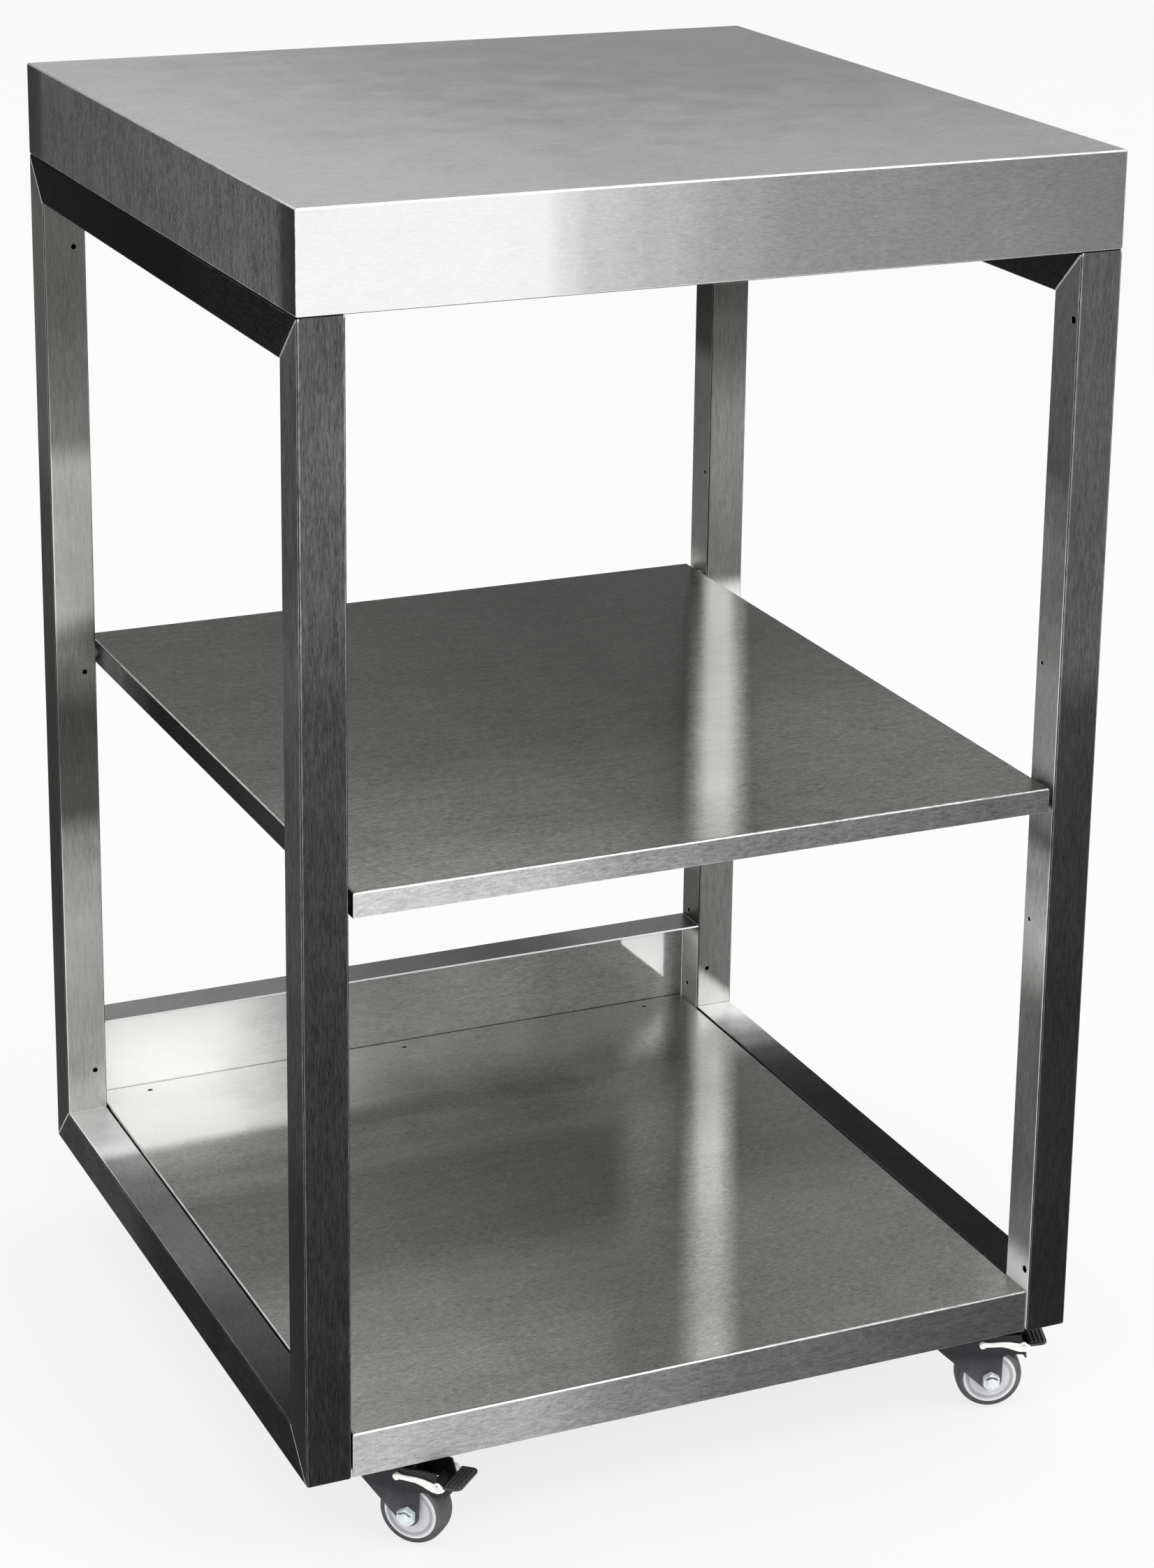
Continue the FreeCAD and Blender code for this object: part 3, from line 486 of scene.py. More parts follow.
class Graph:
    """A node tree that is being wired."""

    def __init__(self, tree: Tree) -> None:
        """Takes the tree."""
        self.tree = tree

    def feed(self, socket: Socket, value: object) -> None:
        """Feeds a socket.

        Args:
            socket: The socket.
            value: Another socket to link it to, or a plain value to set it to.
        """
        if isinstance(value, Socket):
            self.tree.links.new(value, socket)
        else:
            socket.default_value = value

    def feed_all(self, node: Node, **values: object) -> None:
        """Feeds a node's inputs by their names, with _ for a space."""
        for name, value in values.items():
            self.feed(node.inputs[name.replace("_", " ")], value)

    def node(self, kind: str, values: Sequence[object] = (), **settings: object) -> Node:
        """Adds a node.

        Args:
            kind: The node's type.
            values: What its first inputs are fed, in order.
            settings: Its properties.

        Returns:
            The node.
        """
        made = self.tree.nodes.new(kind)
        for key, setting in settings.items():
            setattr(made, key, setting)
        for socket, value in zip(made.inputs, values):
            self.feed(socket, value)
        return made

    def math(self, operation: str, *values: object, clamp: bool = False) -> Socket:
        """Adds a Math node and returns its result."""
        return self.node("ShaderNodeMath", values, operation=operation, use_clamp=clamp).outputs[0]

    def vector(self, operation: str, *values: object) -> Socket:
        """Adds a Vector Math node and returns its vector."""
        return self.node("ShaderNodeVectorMath", values, operation=operation).outputs["Vector"]

    def measure(self, operation: str, *values: object) -> Socket:
        """Adds a Vector Math node and returns its value."""
        return self.node("ShaderNodeVectorMath", values, operation=operation).outputs["Value"]

    def scaled(self, colour: object, by: object) -> Socket:
        """Multiplies a colour by a value.

        Args:
            colour: The colour.
            by: The value.

        Returns:
            The product.
        """
        made = self.node("ShaderNodeVectorMath", (colour,), operation="SCALE")
        self.feed_all(made, Scale=by)
        return made.outputs["Vector"]

    def spread(self, value: object, low: float, high: float, to_low: float = 0.0, to_high: float = 1.0,
               kind: str = "LINEAR") -> Socket:
        """Adds a Map Range node and returns its result."""
        values = (value, low, high, to_low, to_high)
        return self.node("ShaderNodeMapRange", values, interpolation_type=kind).outputs[0]

    def fall(self, value: object, low: object, high: object) -> Socket:
        """Goes softly from 1 at a low value to 0 at a high one."""
        return self.spread(value, low, high, 1.0, 0.0, "SMOOTHSTEP")

    def noise(self, place: object, scale: object, detail: float = 2.0, rough: float = 0.5) -> Socket:
        """Adds a Noise Texture.

        Args:
            place: Where it is read.
            scale: How fine it is.
            detail: How many finer layers it has.
            rough: How strong these are.

        Returns:
            Its value, from 0 to 1.
        """
        made = self.node("ShaderNodeTexNoise")
        self.feed_all(made, Vector=place, Scale=scale, Detail=detail, Roughness=rough)
        return made.outputs[0]

    def swing(self, noise: Socket, reach: float) -> Socket:
        """Turns a noise into one about 0 with a reach of its own."""
        return self.math("MULTIPLY", self.math("SUBTRACT", noise, 0.5), reach)

    def mix(self, amount: object, a: object, b: object, blend: str = "MIX") -> Socket:
        """Adds a Mix node for colours.

        Args:
            amount: How much of the second colour there is.
            a: The first colour.
            b: The second colour.
            blend: How they are mixed.

        Returns:
            The mixed colour.
        """
        made = self.node("ShaderNodeMix", data_type="RGBA", blend_type=blend, clamp_factor=True)
        for index, value in ((0, amount), (6, a), (7, b)):
            self.feed(made.inputs[index], value)
        return made.outputs[2]

    def stops(self, place: object, stops: Stops) -> Socket:
        """Adds a Color Ramp of grey tones along a coordinate.

        Args:
            place: The coordinate, a socket in metres.
            stops: Each stop's coordinate and its tone as seen on a screen.

        Returns:
            The ramp's colour.
        """
        low, high = stops[0][0], stops[-1][0]
        ramp = self.node("ShaderNodeValToRGB", (self.spread(place, low, high),))
        ramp.color_ramp.interpolation = "EASE"
        points = ramp.color_ramp.elements
        while len(points) < len(stops):
            points.new(0.5)
        for point, (where, tone) in zip(points, stops):
            point.position = (where - low) / (high - low)
            point.color = grey(tone)
        return ramp.outputs[0]

    def split(self, place: Socket) -> Sequence[Socket]:
        """Parts a place into its three coordinates."""
        return self.node("ShaderNodeSeparateXYZ", (place,)).outputs

    def shared(self, colour: Socket, value: Socket, shares: Stops) -> Socket:
        """Leaves a share of a colour at each place along a value."""
        return self.mix(1.0, colour, self.stops(value, shares), "MULTIPLY")

    def attribute(self, name: str, output: str) -> Socket:
        """Reads an attribute of the piece."""
        return self.node("ShaderNodeAttribute", attribute_name=name).outputs[output]

    def object_place(self) -> Socket:
        """Reads the place on the piece, in the cart's coordinates."""
        return self.node("ShaderNodeTexCoord").outputs["Object"]

    def group(self, tree: Tree, **inputs: object) -> dict[str, Socket]:
        """Places a node group.

        Args:
            tree: The group.
            inputs: What its inputs are fed.

        Returns:
            Its outputs by name.
        """
        made = self.node("ShaderNodeGroup", node_tree=tree)
        self.feed_all(made, **inputs)
        return {socket.name: socket for socket in made.outputs}

    def bump(self, shader: Node, height: Socket, strength: float, depth: float) -> None:
        """Gives a shader the relief of a height.

        Args:
            shader: The shader.
            height: The height, from 0 to 1.
            strength: How strong the relief is.
            depth: How deep it is.
        """
        made = self.node("ShaderNodeBump")
        self.feed_all(made, Strength=strength, Distance=depth, Height=height)
        self.feed_all(shader, Normal=made.outputs[0])


def new_group(name: str, outputs: Sequence[str], **inputs: float | Triple
              ) -> tuple[Graph, dict[str, Socket], Node]:
    """Starts a shader node group.

    Args:
        name: The group's name.
        outputs: The names of its outputs, all plain values.
        inputs: The default of each input, a number or three.

    Returns:
        The graph, its inputs by name, and the node that takes its outputs.
    """
    tree = bpy.data.node_groups.new(name, "ShaderNodeTree")
    for key, value in inputs.items():
        kind = "NodeSocketFloat" if isinstance(value, float) else "NodeSocketVector"
        tree.interface.new_socket(name=key, in_out="INPUT", socket_type=kind).default_value = value
    for key in outputs:
        tree.interface.new_socket(name=key, in_out="OUTPUT", socket_type="NodeSocketFloat")
    graph = Graph(tree)
    source = graph.node("NodeGroupInput")
    return graph, {s.name: s for s in source.outputs if s.name}, graph.node("NodeGroupOutput")


def brushed_grain_group() -> Tree:
    """Builds the brush lines of rolled and ground steel: fine, medium and broad streaks along one direction.

    Returns:
        The group, with the shade of the lines about 0 and their height.
    """
    graph, given, out = new_group("brushed_grain", ("Shade", "Height"), Position=ORIGIN, Stretch=ONES)
    place = graph.vector("MULTIPLY", given["Position"], given["Stretch"])
    fine = graph.noise(place, 1.0, rough=0.6)
    medium = graph.noise(graph.vector("ADD", place, (31.0, 77.0, 13.0)), 0.40, rough=0.6)
    broad = graph.noise(graph.vector("ADD", place, (92.0, 24.0, 58.0)), 0.08)
    shade = graph.math("ADD", graph.swing(fine, 1.4), graph.swing(medium, 1.5))
    height = graph.math("ADD", graph.math("MULTIPLY", fine, 0.6), graph.math("MULTIPLY", medium, 0.4))
    graph.feed_all(out, Shade=graph.math("ADD", shade, graph.swing(broad, 0.4)), Height=height)
    return graph.tree


def smudge_group() -> Tree:
    """Builds the soft cloudiness that handling leaves on metal.

    Returns:
        The group, with a value about 0.
    """
    graph, given, out = new_group("handling_smudges", ("Cloud",), Position=ORIGIN, Scale=9.0)
    cloud = graph.noise(given["Position"], given["Scale"], 3.0)
    graph.feed_all(out, Cloud=graph.math("SUBTRACT", cloud, 0.5))
    return graph.tree


def edge_wear_group() -> Tree:
    """Builds the bright line on rounded edges: partly wear from folding and handling, partly a painted
    highlight.

    Returns:
        The group, with a mask from 0 to 1 that is broken up a little along the edge.
    """
    graph, given, out = new_group("edge_wear", ("Mask",), Position=ORIGIN, Rim=0.0)
    patches = graph.spread(graph.noise(given["Position"], 60.0), 0.3, 0.6, 0.65, 1.0)
    graph.feed_all(out, Mask=graph.math("MULTIPLY", given["Rim"], patches, clamp=True))
    return graph.tree


def mitre_seam_group() -> Tree:
    """Builds the ground weld across the mitred corners of the side frames.

    Returns:
        The group, with the seam's thin line and the wider zone that was ground beside it.
    """
    graph, given, out = new_group("mitre_seam", ("Line", "Zone"), Position=ORIGIN, Reach=HALF_CART,
                                  Top=FRAME_TOP, Foot=FRAME_FOOT)
    _, y, z = graph.split(given["Position"])
    inward = graph.math("SUBTRACT", given["Reach"], graph.math("ABSOLUTE", y))
    ends = [graph.math("SUBTRACT", given["Top"], z), graph.math("SUBTRACT", z, given["Foot"])]
    gaps = [graph.math("ABSOLUTE", graph.math("SUBTRACT", inward, end)) for end in ends]
    gap = graph.math("MINIMUM", *gaps)
    wobble = graph.math("MULTIPLY", graph.noise(given["Position"], 400.0), 4 * MM)
    graph.feed_all(out, Line=graph.fall(gap, 0.6 * MM, 1.4 * MM),
                   Zone=graph.fall(graph.math("ADD", gap, wobble), 4 * MM, 10 * MM))
    return graph.tree


def sheen_band_group() -> Tree:
    """Builds a straight lane across a sheet, used for painted reflections, painted sunlight and painted shade.

    Returns:
        The group, with a mask that is 1 on the lane's middle and falls off at its two soft sides.
    """
    graph, given, out = new_group("sheen_band", ("Mask",), Position=ORIGIN, Start=ORIGIN,
                                  Side=(1.0, 0.0, 0.0), Half=0.01, Soft=0.01)
    away = graph.vector("SUBTRACT", given["Position"], given["Start"])
    off = graph.math("ABSOLUTE", graph.measure("DOT_PRODUCT", away, given["Side"]))
    far = graph.math("ADD", given["Half"], given["Soft"])
    graph.feed_all(out, Mask=graph.fall(off, given["Half"], far))
    return graph.tree


def sheen_patch_group() -> Tree:
    """Builds a patch with soft, slightly uneven sides, used for painted sunlight, painted highlights and
    painted shade.

    Returns:
        The group, with a mask that is 1 inside the patch.
    """
    graph, given, out = new_group("sheen_patch", ("Mask",), Position=ORIGIN, Middle=ORIGIN, Reach=ONES,
                                  Soft=ONES)
    away = graph.vector("ABSOLUTE", graph.vector("SUBTRACT", given["Position"], given["Middle"]))
    past = graph.vector("DIVIDE", graph.vector("SUBTRACT", away, given["Reach"]), given["Soft"])
    wobble = graph.swing(graph.noise(given["Position"], 22.0), 0.8)
    x, y, z = (graph.fall(graph.math("ADD", side, wobble), 0.0, 1.0) for side in graph.split(past))
    graph.feed_all(out, Mask=graph.math("MULTIPLY", graph.math("MULTIPLY", x, y), z))
    return graph.tree


@dataclass
class Effects:
    """The node groups that more than one material uses, built once."""

    grain: Tree = field(default_factory=brushed_grain_group)
    smudges: Tree = field(default_factory=smudge_group)
    # The rounded edges' wear and painted highlight.
    wear: Tree = field(default_factory=edge_wear_group)
    seam: Tree = field(default_factory=mitre_seam_group)
    band: Tree = field(default_factory=sheen_band_group)
    patch: Tree = field(default_factory=sheen_patch_group)


def new_material(name: str) -> tuple[Material, Graph, Node]:
    """Starts a material with one Principled shader.

    Args:
        name: The material's name.

    Returns:
        The material, its graph and the shader node.
    """
    material = bpy.data.materials.new(name)
    material.use_nodes = True
    shader = next(n for n in material.node_tree.nodes if n.type == "BSDF_PRINCIPLED")
    return material, Graph(material.node_tree), shader


@dataclass(frozen=True)
class Lane:
    """A straight lane of another tone across a face, from its middle line out to two soft sides, used for
    painted reflections, painted sunlight and painted shade.

    Attributes:
        start: A point on its middle line.
        side: The direction across it.
        half: Half the width of its even part.
        soft: The width of each soft side.
        tones: Its tone from the front of the cart back.
    """

    start: Triple
    side: Triple
    half: float
    soft: float
    tones: Stops

    def mask(self, graph: Graph, effects: Effects, place: Socket) -> Socket:
        """Places the lane's mask."""
        return graph.group(effects.band, Position=place, Start=self.start, Half=self.half, Soft=self.soft,
                           Side=Vector(self.side).normalized())["Mask"]


@dataclass(frozen=True)
class Patch:
    """A patch of another tone with soft sides, used for painted sunlight, painted highlights and painted
    shade.

    Attributes:
        middle: Its middle.
        reach: How far its even part reaches along each axis.
        soft: The width of its soft side along each axis.
        tones: Its tone from the front of the cart back.
        slant: A lane that cuts it off at a slant, or none.
    """

    middle: Triple
    reach: Triple
    soft: Triple
    tones: Stops
    slant: Lane | None = None

    def mask(self, graph: Graph, effects: Effects, place: Socket) -> Socket:
        """Places the patch's mask.

        Args:
            graph: The material's graph.
            effects: The shared node groups.
            place: The place on the piece.

        Returns:
            The mask.
        """
        mask = graph.group(effects.patch, Position=place, Middle=self.middle, Reach=self.reach,
                           Soft=self.soft)["Mask"]
        if self.slant is not None:
            mask = graph.math("MULTIPLY", mask, self.slant.mask(graph, effects, place))
        return mask


def grey(tone: float) -> tuple[float, float, float, float]:
    """Gives the grey of a tone as seen on a screen, as a shader's colour."""
    return (linear(tone), linear(tone), linear(tone), 1.0)


def true_tint(tone: float, look: float) -> float:
    """Gives the edge tint at which a slanting look shows a metal's own tone.

    Args:
        tone: The metal's tone, as seen on a screen.
        look: The cosine between the face's normal and the way to the camera.

    Returns:
        The grey for the shader's tint of grazing reflections.
    """
    share, knee = linear(tone), 6 / 7
    rim = share + (1 - share) * knee ** 5
    return max(0.3, 1 - knee ** 6 / 7 * (1 - share) / (look * (1 - look) * rim))


@dataclass(frozen=True)
class SteelFinish:
    """Brushed stainless steel on faces that look one way, with the studio's reflections, highlights and shade
    painted into its tones.

    Attributes:
        name: The material's name.
        grain: The axis that the brush lines run along.
        along: The axis that the tone changes along.
        tones: The tone at places along it, with reflections, highlights and shade painted in.
        across: A second such axis, or none.
        shares: The share of the tone that is left at places along the second axis, more painted shading.
        rims: The tone of the rounded edges at places along an axis, a painted highlight that is darker where
            the edge lies in shade.
        rims_along: That axis, or none for the tones' own.
        sheens: The lanes and patches of painted light and shade on the face.
        contrast: How strong the brush lines are.
        roughness: How dull the face is.
        edge_tint: How much a grazing look brightens the face.
        bare: How metallic the brightest tones stay.
        lift: How much of their own light the brightest tones add, where the photograph's sun falls on them.
        streak: How close the brush lines repeat along their length, per metre.
        cloud: How strong the smudges are.
        cloud_scale: How fine the smudges are.
        seam: The tone of the ground mitres, or none.
        tint: The colour that its greys are tinted with.
        fine: How close the brush lines lie beside each other, per metre.
        fading: The tones between which the brush lines fade.
        faded: The share of them that the brightest tones keep.
        glare: The tones between which bare and lift take hold.
        smudge_dulls: How much the smudges change the roughness.
        grinding: How much lighter and duller the ground zone beside a mitre is.
        relief: The strength and the depth of the brush lines' relief.
    """

    name: str
    grain: Axis
    along: Axis
    tones: Stops
    across: Axis | None = None
    shares: Stops = ()
    rims: Stops = ()
    rims_along: Axis | None = None
    sheens: tuple[Lane | Patch, ...] = ()
    contrast: float = 0.55
    roughness: float = 0.36
    edge_tint: float = 0.55
    bare: float = 1.0
    lift: float = 0.0
    streak: float = 420.0
    cloud: float = 0.16
    cloud_scale: float = 9.0
    seam: float | None = None
    tint: Triple = NEUTRAL
    fine: float = 2000.0
    fading: Pair = (0.6, 0.95)
    faded: float = 0.3
    glare: Pair = (0.7, 0.97)
    smudge_dulls: float = 0.10
    grinding: Pair = (0.18, 0.10)
    relief: Pair = (0.25, 0.05 * MM)

    def tone(self, graph: Graph, effects: Effects, place: Socket) -> Socket:
        """Wires the face's painted tone, with its lanes and patches of painted light and shade and its rounded
        edges' painted highlight.

        Args:
            graph: The material's graph.
            effects: The shared node groups.
            place: The place on the piece.

        Returns:
            The tone.
        """
        at = graph.split(place)
        tone = graph.stops(at[self.along.value], self.tones)
        if self.across is not None:
            tone = graph.shared(tone, at[self.across.value], self.shares)
        # Each lane and patch of painted light and shade sets its own tone inside its mask.
        for sheen in self.sheens:
            tone = graph.mix(sheen.mask(graph, effects, place), tone, graph.stops(at["Y"], sheen.tones))
        # The rounded edges get a painted highlight, broken up like wear.
        if self.rims:
            worn_and_glinting = graph.group(effects.wear, Position=place, Rim=graph.attribute("rim", "Fac"))["Mask"]
            axis = self.rims_along or self.along
            tone = graph.mix(worn_and_glinting, tone, graph.stops(at[axis.value], self.rims))
        return tone

    def build(self, effects: Effects) -> Material:
        """Wires the material.

        Args:
            effects: The shared node groups.

        Returns:
            The material.
        """
        material, graph, shader = new_material(self.name)
        place = graph.object_place()
        tone = self.tone(graph, effects, place)
        stretch = tuple(self.streak if axis is self.grain else self.fine for axis in Axis)
        grain = graph.group(effects.grain, Position=place, Stretch=stretch)
        cloud = graph.group(effects.smudges, Position=place, Scale=self.cloud_scale)["Cloud"]
        fade_low, fade_high = (linear(t) for t in self.fading)
        lines = graph.spread(tone, fade_low, fade_high, self.contrast, self.faded * self.contrast)
        shade = graph.math("ADD", graph.math("MULTIPLY", grain["Shade"], lines),
                           graph.math("MULTIPLY", cloud, self.cloud))
        dull = graph.math("MULTIPLY", cloud, self.smudge_dulls)
        if self.seam is not None:
            seam = graph.group(effects.seam, Position=place)
            lighter, duller = (graph.math("MULTIPLY", seam["Zone"], share) for share in self.grinding)
            shade = graph.math("ADD", shade, lighter)
            dull = graph.math("ADD", dull, duller)
            tone = graph.mix(seam["Line"], tone, grey(self.seam))
        low, high = (linear(t) for t in self.glare)
        brushed = graph.scaled(tone, graph.math("ADD", shade, 1.0))
        graph.feed_all(shader, Base_Color=graph.mix(1.0, brushed, (*self.tint, 1.0), "MULTIPLY"),
                       Roughness=graph.math("ADD", dull, self.roughness, clamp=True),
                       Metallic=graph.spread(tone, low, high, 1.0, self.bare),
                       Specular_Tint=(self.edge_tint, self.edge_tint, self.edge_tint, 1.0))
        # The brightest painted tones glow, as painted sunlight.
        if self.lift:
            graph.feed_all(shader, Emission_Color=graph.spread(tone, low, high, 0.0, self.lift),
                           Emission_Strength=1.0)
        graph.bump(shader, grain["Height"], *self.relief)
        return material


@dataclass(frozen=True)
class PlatedFinish:
    """Zinc or chrome plating on small caster pieces and screws.

    Attributes:
        name: The material's name.
        colour: The plating's colour, as seen on a screen.
        roughness: How dull it is.
        blotch: How much its colour varies.
        own: Whether the pattern follows the piece's own coordinates.
        fine: The scale of its blotches.
        metal: How metallic it is.
        shares: The share of its tone at heights in its own coordinates, or none.
        lift: How much of its own light it adds, where the photograph's sun falls on it.
        glow: The colour of that light.
        speck: The scale of its specks.
        worn_and_glinting: How much brighter its rounded edges are, partly from wear and partly as a painted
            highlight.
        smudge_dulls: How much the smudges change the roughness.
        relief: The strength and the depth of its specks' relief.
    """

    name: str
    colour: Triple
    roughness: float
    blotch: float = 0.15
    own: bool = True
    fine: float = 160.0
    metal: float = 1.0
    shares: Stops = ()
    lift: float = 0.0
    glow: Triple = (1.0, 1.0, 0.98)
    speck: float = 1400.0
    worn_and_glinting: float = 1.35
    smudge_dulls: float = 0.3
    relief: Pair = (0.2, 0.08 * MM)

    def build(self, effects: Effects) -> Material:
        """Wires the material.

        Args:
            effects: The shared node groups.

        Returns:
            The material.
        """
        material, graph, shader = new_material(self.name)
        place = graph.attribute("own_place", "Vector") if self.own else graph.object_place()
        cloud = graph.group(effects.smudges, Position=place, Scale=self.fine)["Cloud"]
        specks = graph.noise(place, self.speck)
        shade = graph.math("ADD", graph.math("MULTIPLY", cloud, 2 * self.blotch),
                           graph.swing(specks, self.blotch))
        tone = graph.scaled(tuple(linear(c) for c in self.colour), graph.math("ADD", shade, 1.0))
        if self.shares:
            tone = graph.shared(tone, graph.split(place)["Z"], self.shares)
        # Rounded edges are brightened: partly wear, partly a painted highlight.
        worn_and_glinting = graph.group(effects.wear, Position=place, Rim=graph.attribute("rim", "Fac"))["Mask"]
        dull = graph.math("MULTIPLY", cloud, self.smudge_dulls)
        graph.feed_all(shader, Base_Color=graph.mix(worn_and_glinting, tone, graph.scaled(tone, self.worn_and_glinting)),
                       Roughness=graph.math("ADD", dull, self.roughness, clamp=True), Metallic=self.metal,
                       Emission_Color=(*self.glow, 1.0), Emission_Strength=self.lift)
        graph.bump(shader, specks, *self.relief)
        return material


@dataclass(frozen=True)
class MouldedFinish:
    """Moulded plastic or rubber of the wheels.

    Attributes:
        name: The material's name.
        colour: The material's colour, as seen on a screen.
        dust: The colour of the dust on it.
        dusty: How much dust it holds.
        roughness: How dull it is.
        pebble: The depth of its moulded texture.
        rings: The share of its tone at distances from the axle, or none.
        shares: The share of its tone at heights in its own coordinates, or none.
        axle: The axle's place in the piece's own coordinates.
        cloud_scale: How fine its smudges are.
        cloud: How strong they are.
        grit: The scale of its moulded texture.
        settling: The values between which the dust settles.
        dust_dulls: How much the dust adds to the roughness.
        relief: The strength of the moulded texture's relief.
    """

    name: str
    colour: Triple
    dust: Triple
    dusty: float
    roughness: float
    pebble: float
    rings: Stops = ()
    shares: Stops = ()
    axle: Triple = (0.024, 0.0, -0.045)
    cloud_scale: float = 70.0
    cloud: float = 0.25
    grit: float = 1800.0
    settling: Pair = (0.15, 0.5)
    dust_dulls: float = 0.3
    relief: float = 0.3

    def build(self, effects: Effects) -> Material:
        """Wires the material.

        Args:
            effects: The shared node groups.

        Returns:
            The material.
        """
        material, graph, shader = new_material(self.name)
        place = graph.attribute("own_place", "Vector")
        cloud = graph.group(effects.smudges, Position=place, Scale=self.cloud_scale)["Cloud"]
        grit = graph.noise(place, self.grit, 3.0)
        shade = graph.math("ADD", graph.math("MULTIPLY", cloud, self.cloud), 1.0)
        tone = graph.scaled(tuple(linear(c) for c in self.colour), shade)
        if self.rings:
            away = graph.vector("MULTIPLY", graph.vector("SUBTRACT", place, self.axle), (1.0, 0.0, 1.0))
            tone = graph.shared(tone, graph.measure("LENGTH", away), self.rings)
        if self.shares:
            tone = graph.shared(tone, graph.split(place)["Z"], self.shares)
        settled = graph.spread(graph.math("ADD", cloud, graph.math("MULTIPLY", grit, 0.5)), *self.settling,
                               0.0, self.dusty)
        dust = (*(linear(c) for c in self.dust), 1.0)
        dull = graph.math("MULTIPLY", settled, self.dust_dulls)
        graph.feed_all(shader, Base_Color=graph.mix(settled, tone, dust),
                       Roughness=graph.math("ADD", dull, self.roughness, clamp=True))
        graph.bump(shader, grit, self.relief, self.pebble)
        return material


Tones = dict[Face, Stops]
# Lanes and patches of painted light and shade on single faces.
PaintedLightAndShade = dict[tuple[str, Face], tuple[Lane | Patch, ...]]


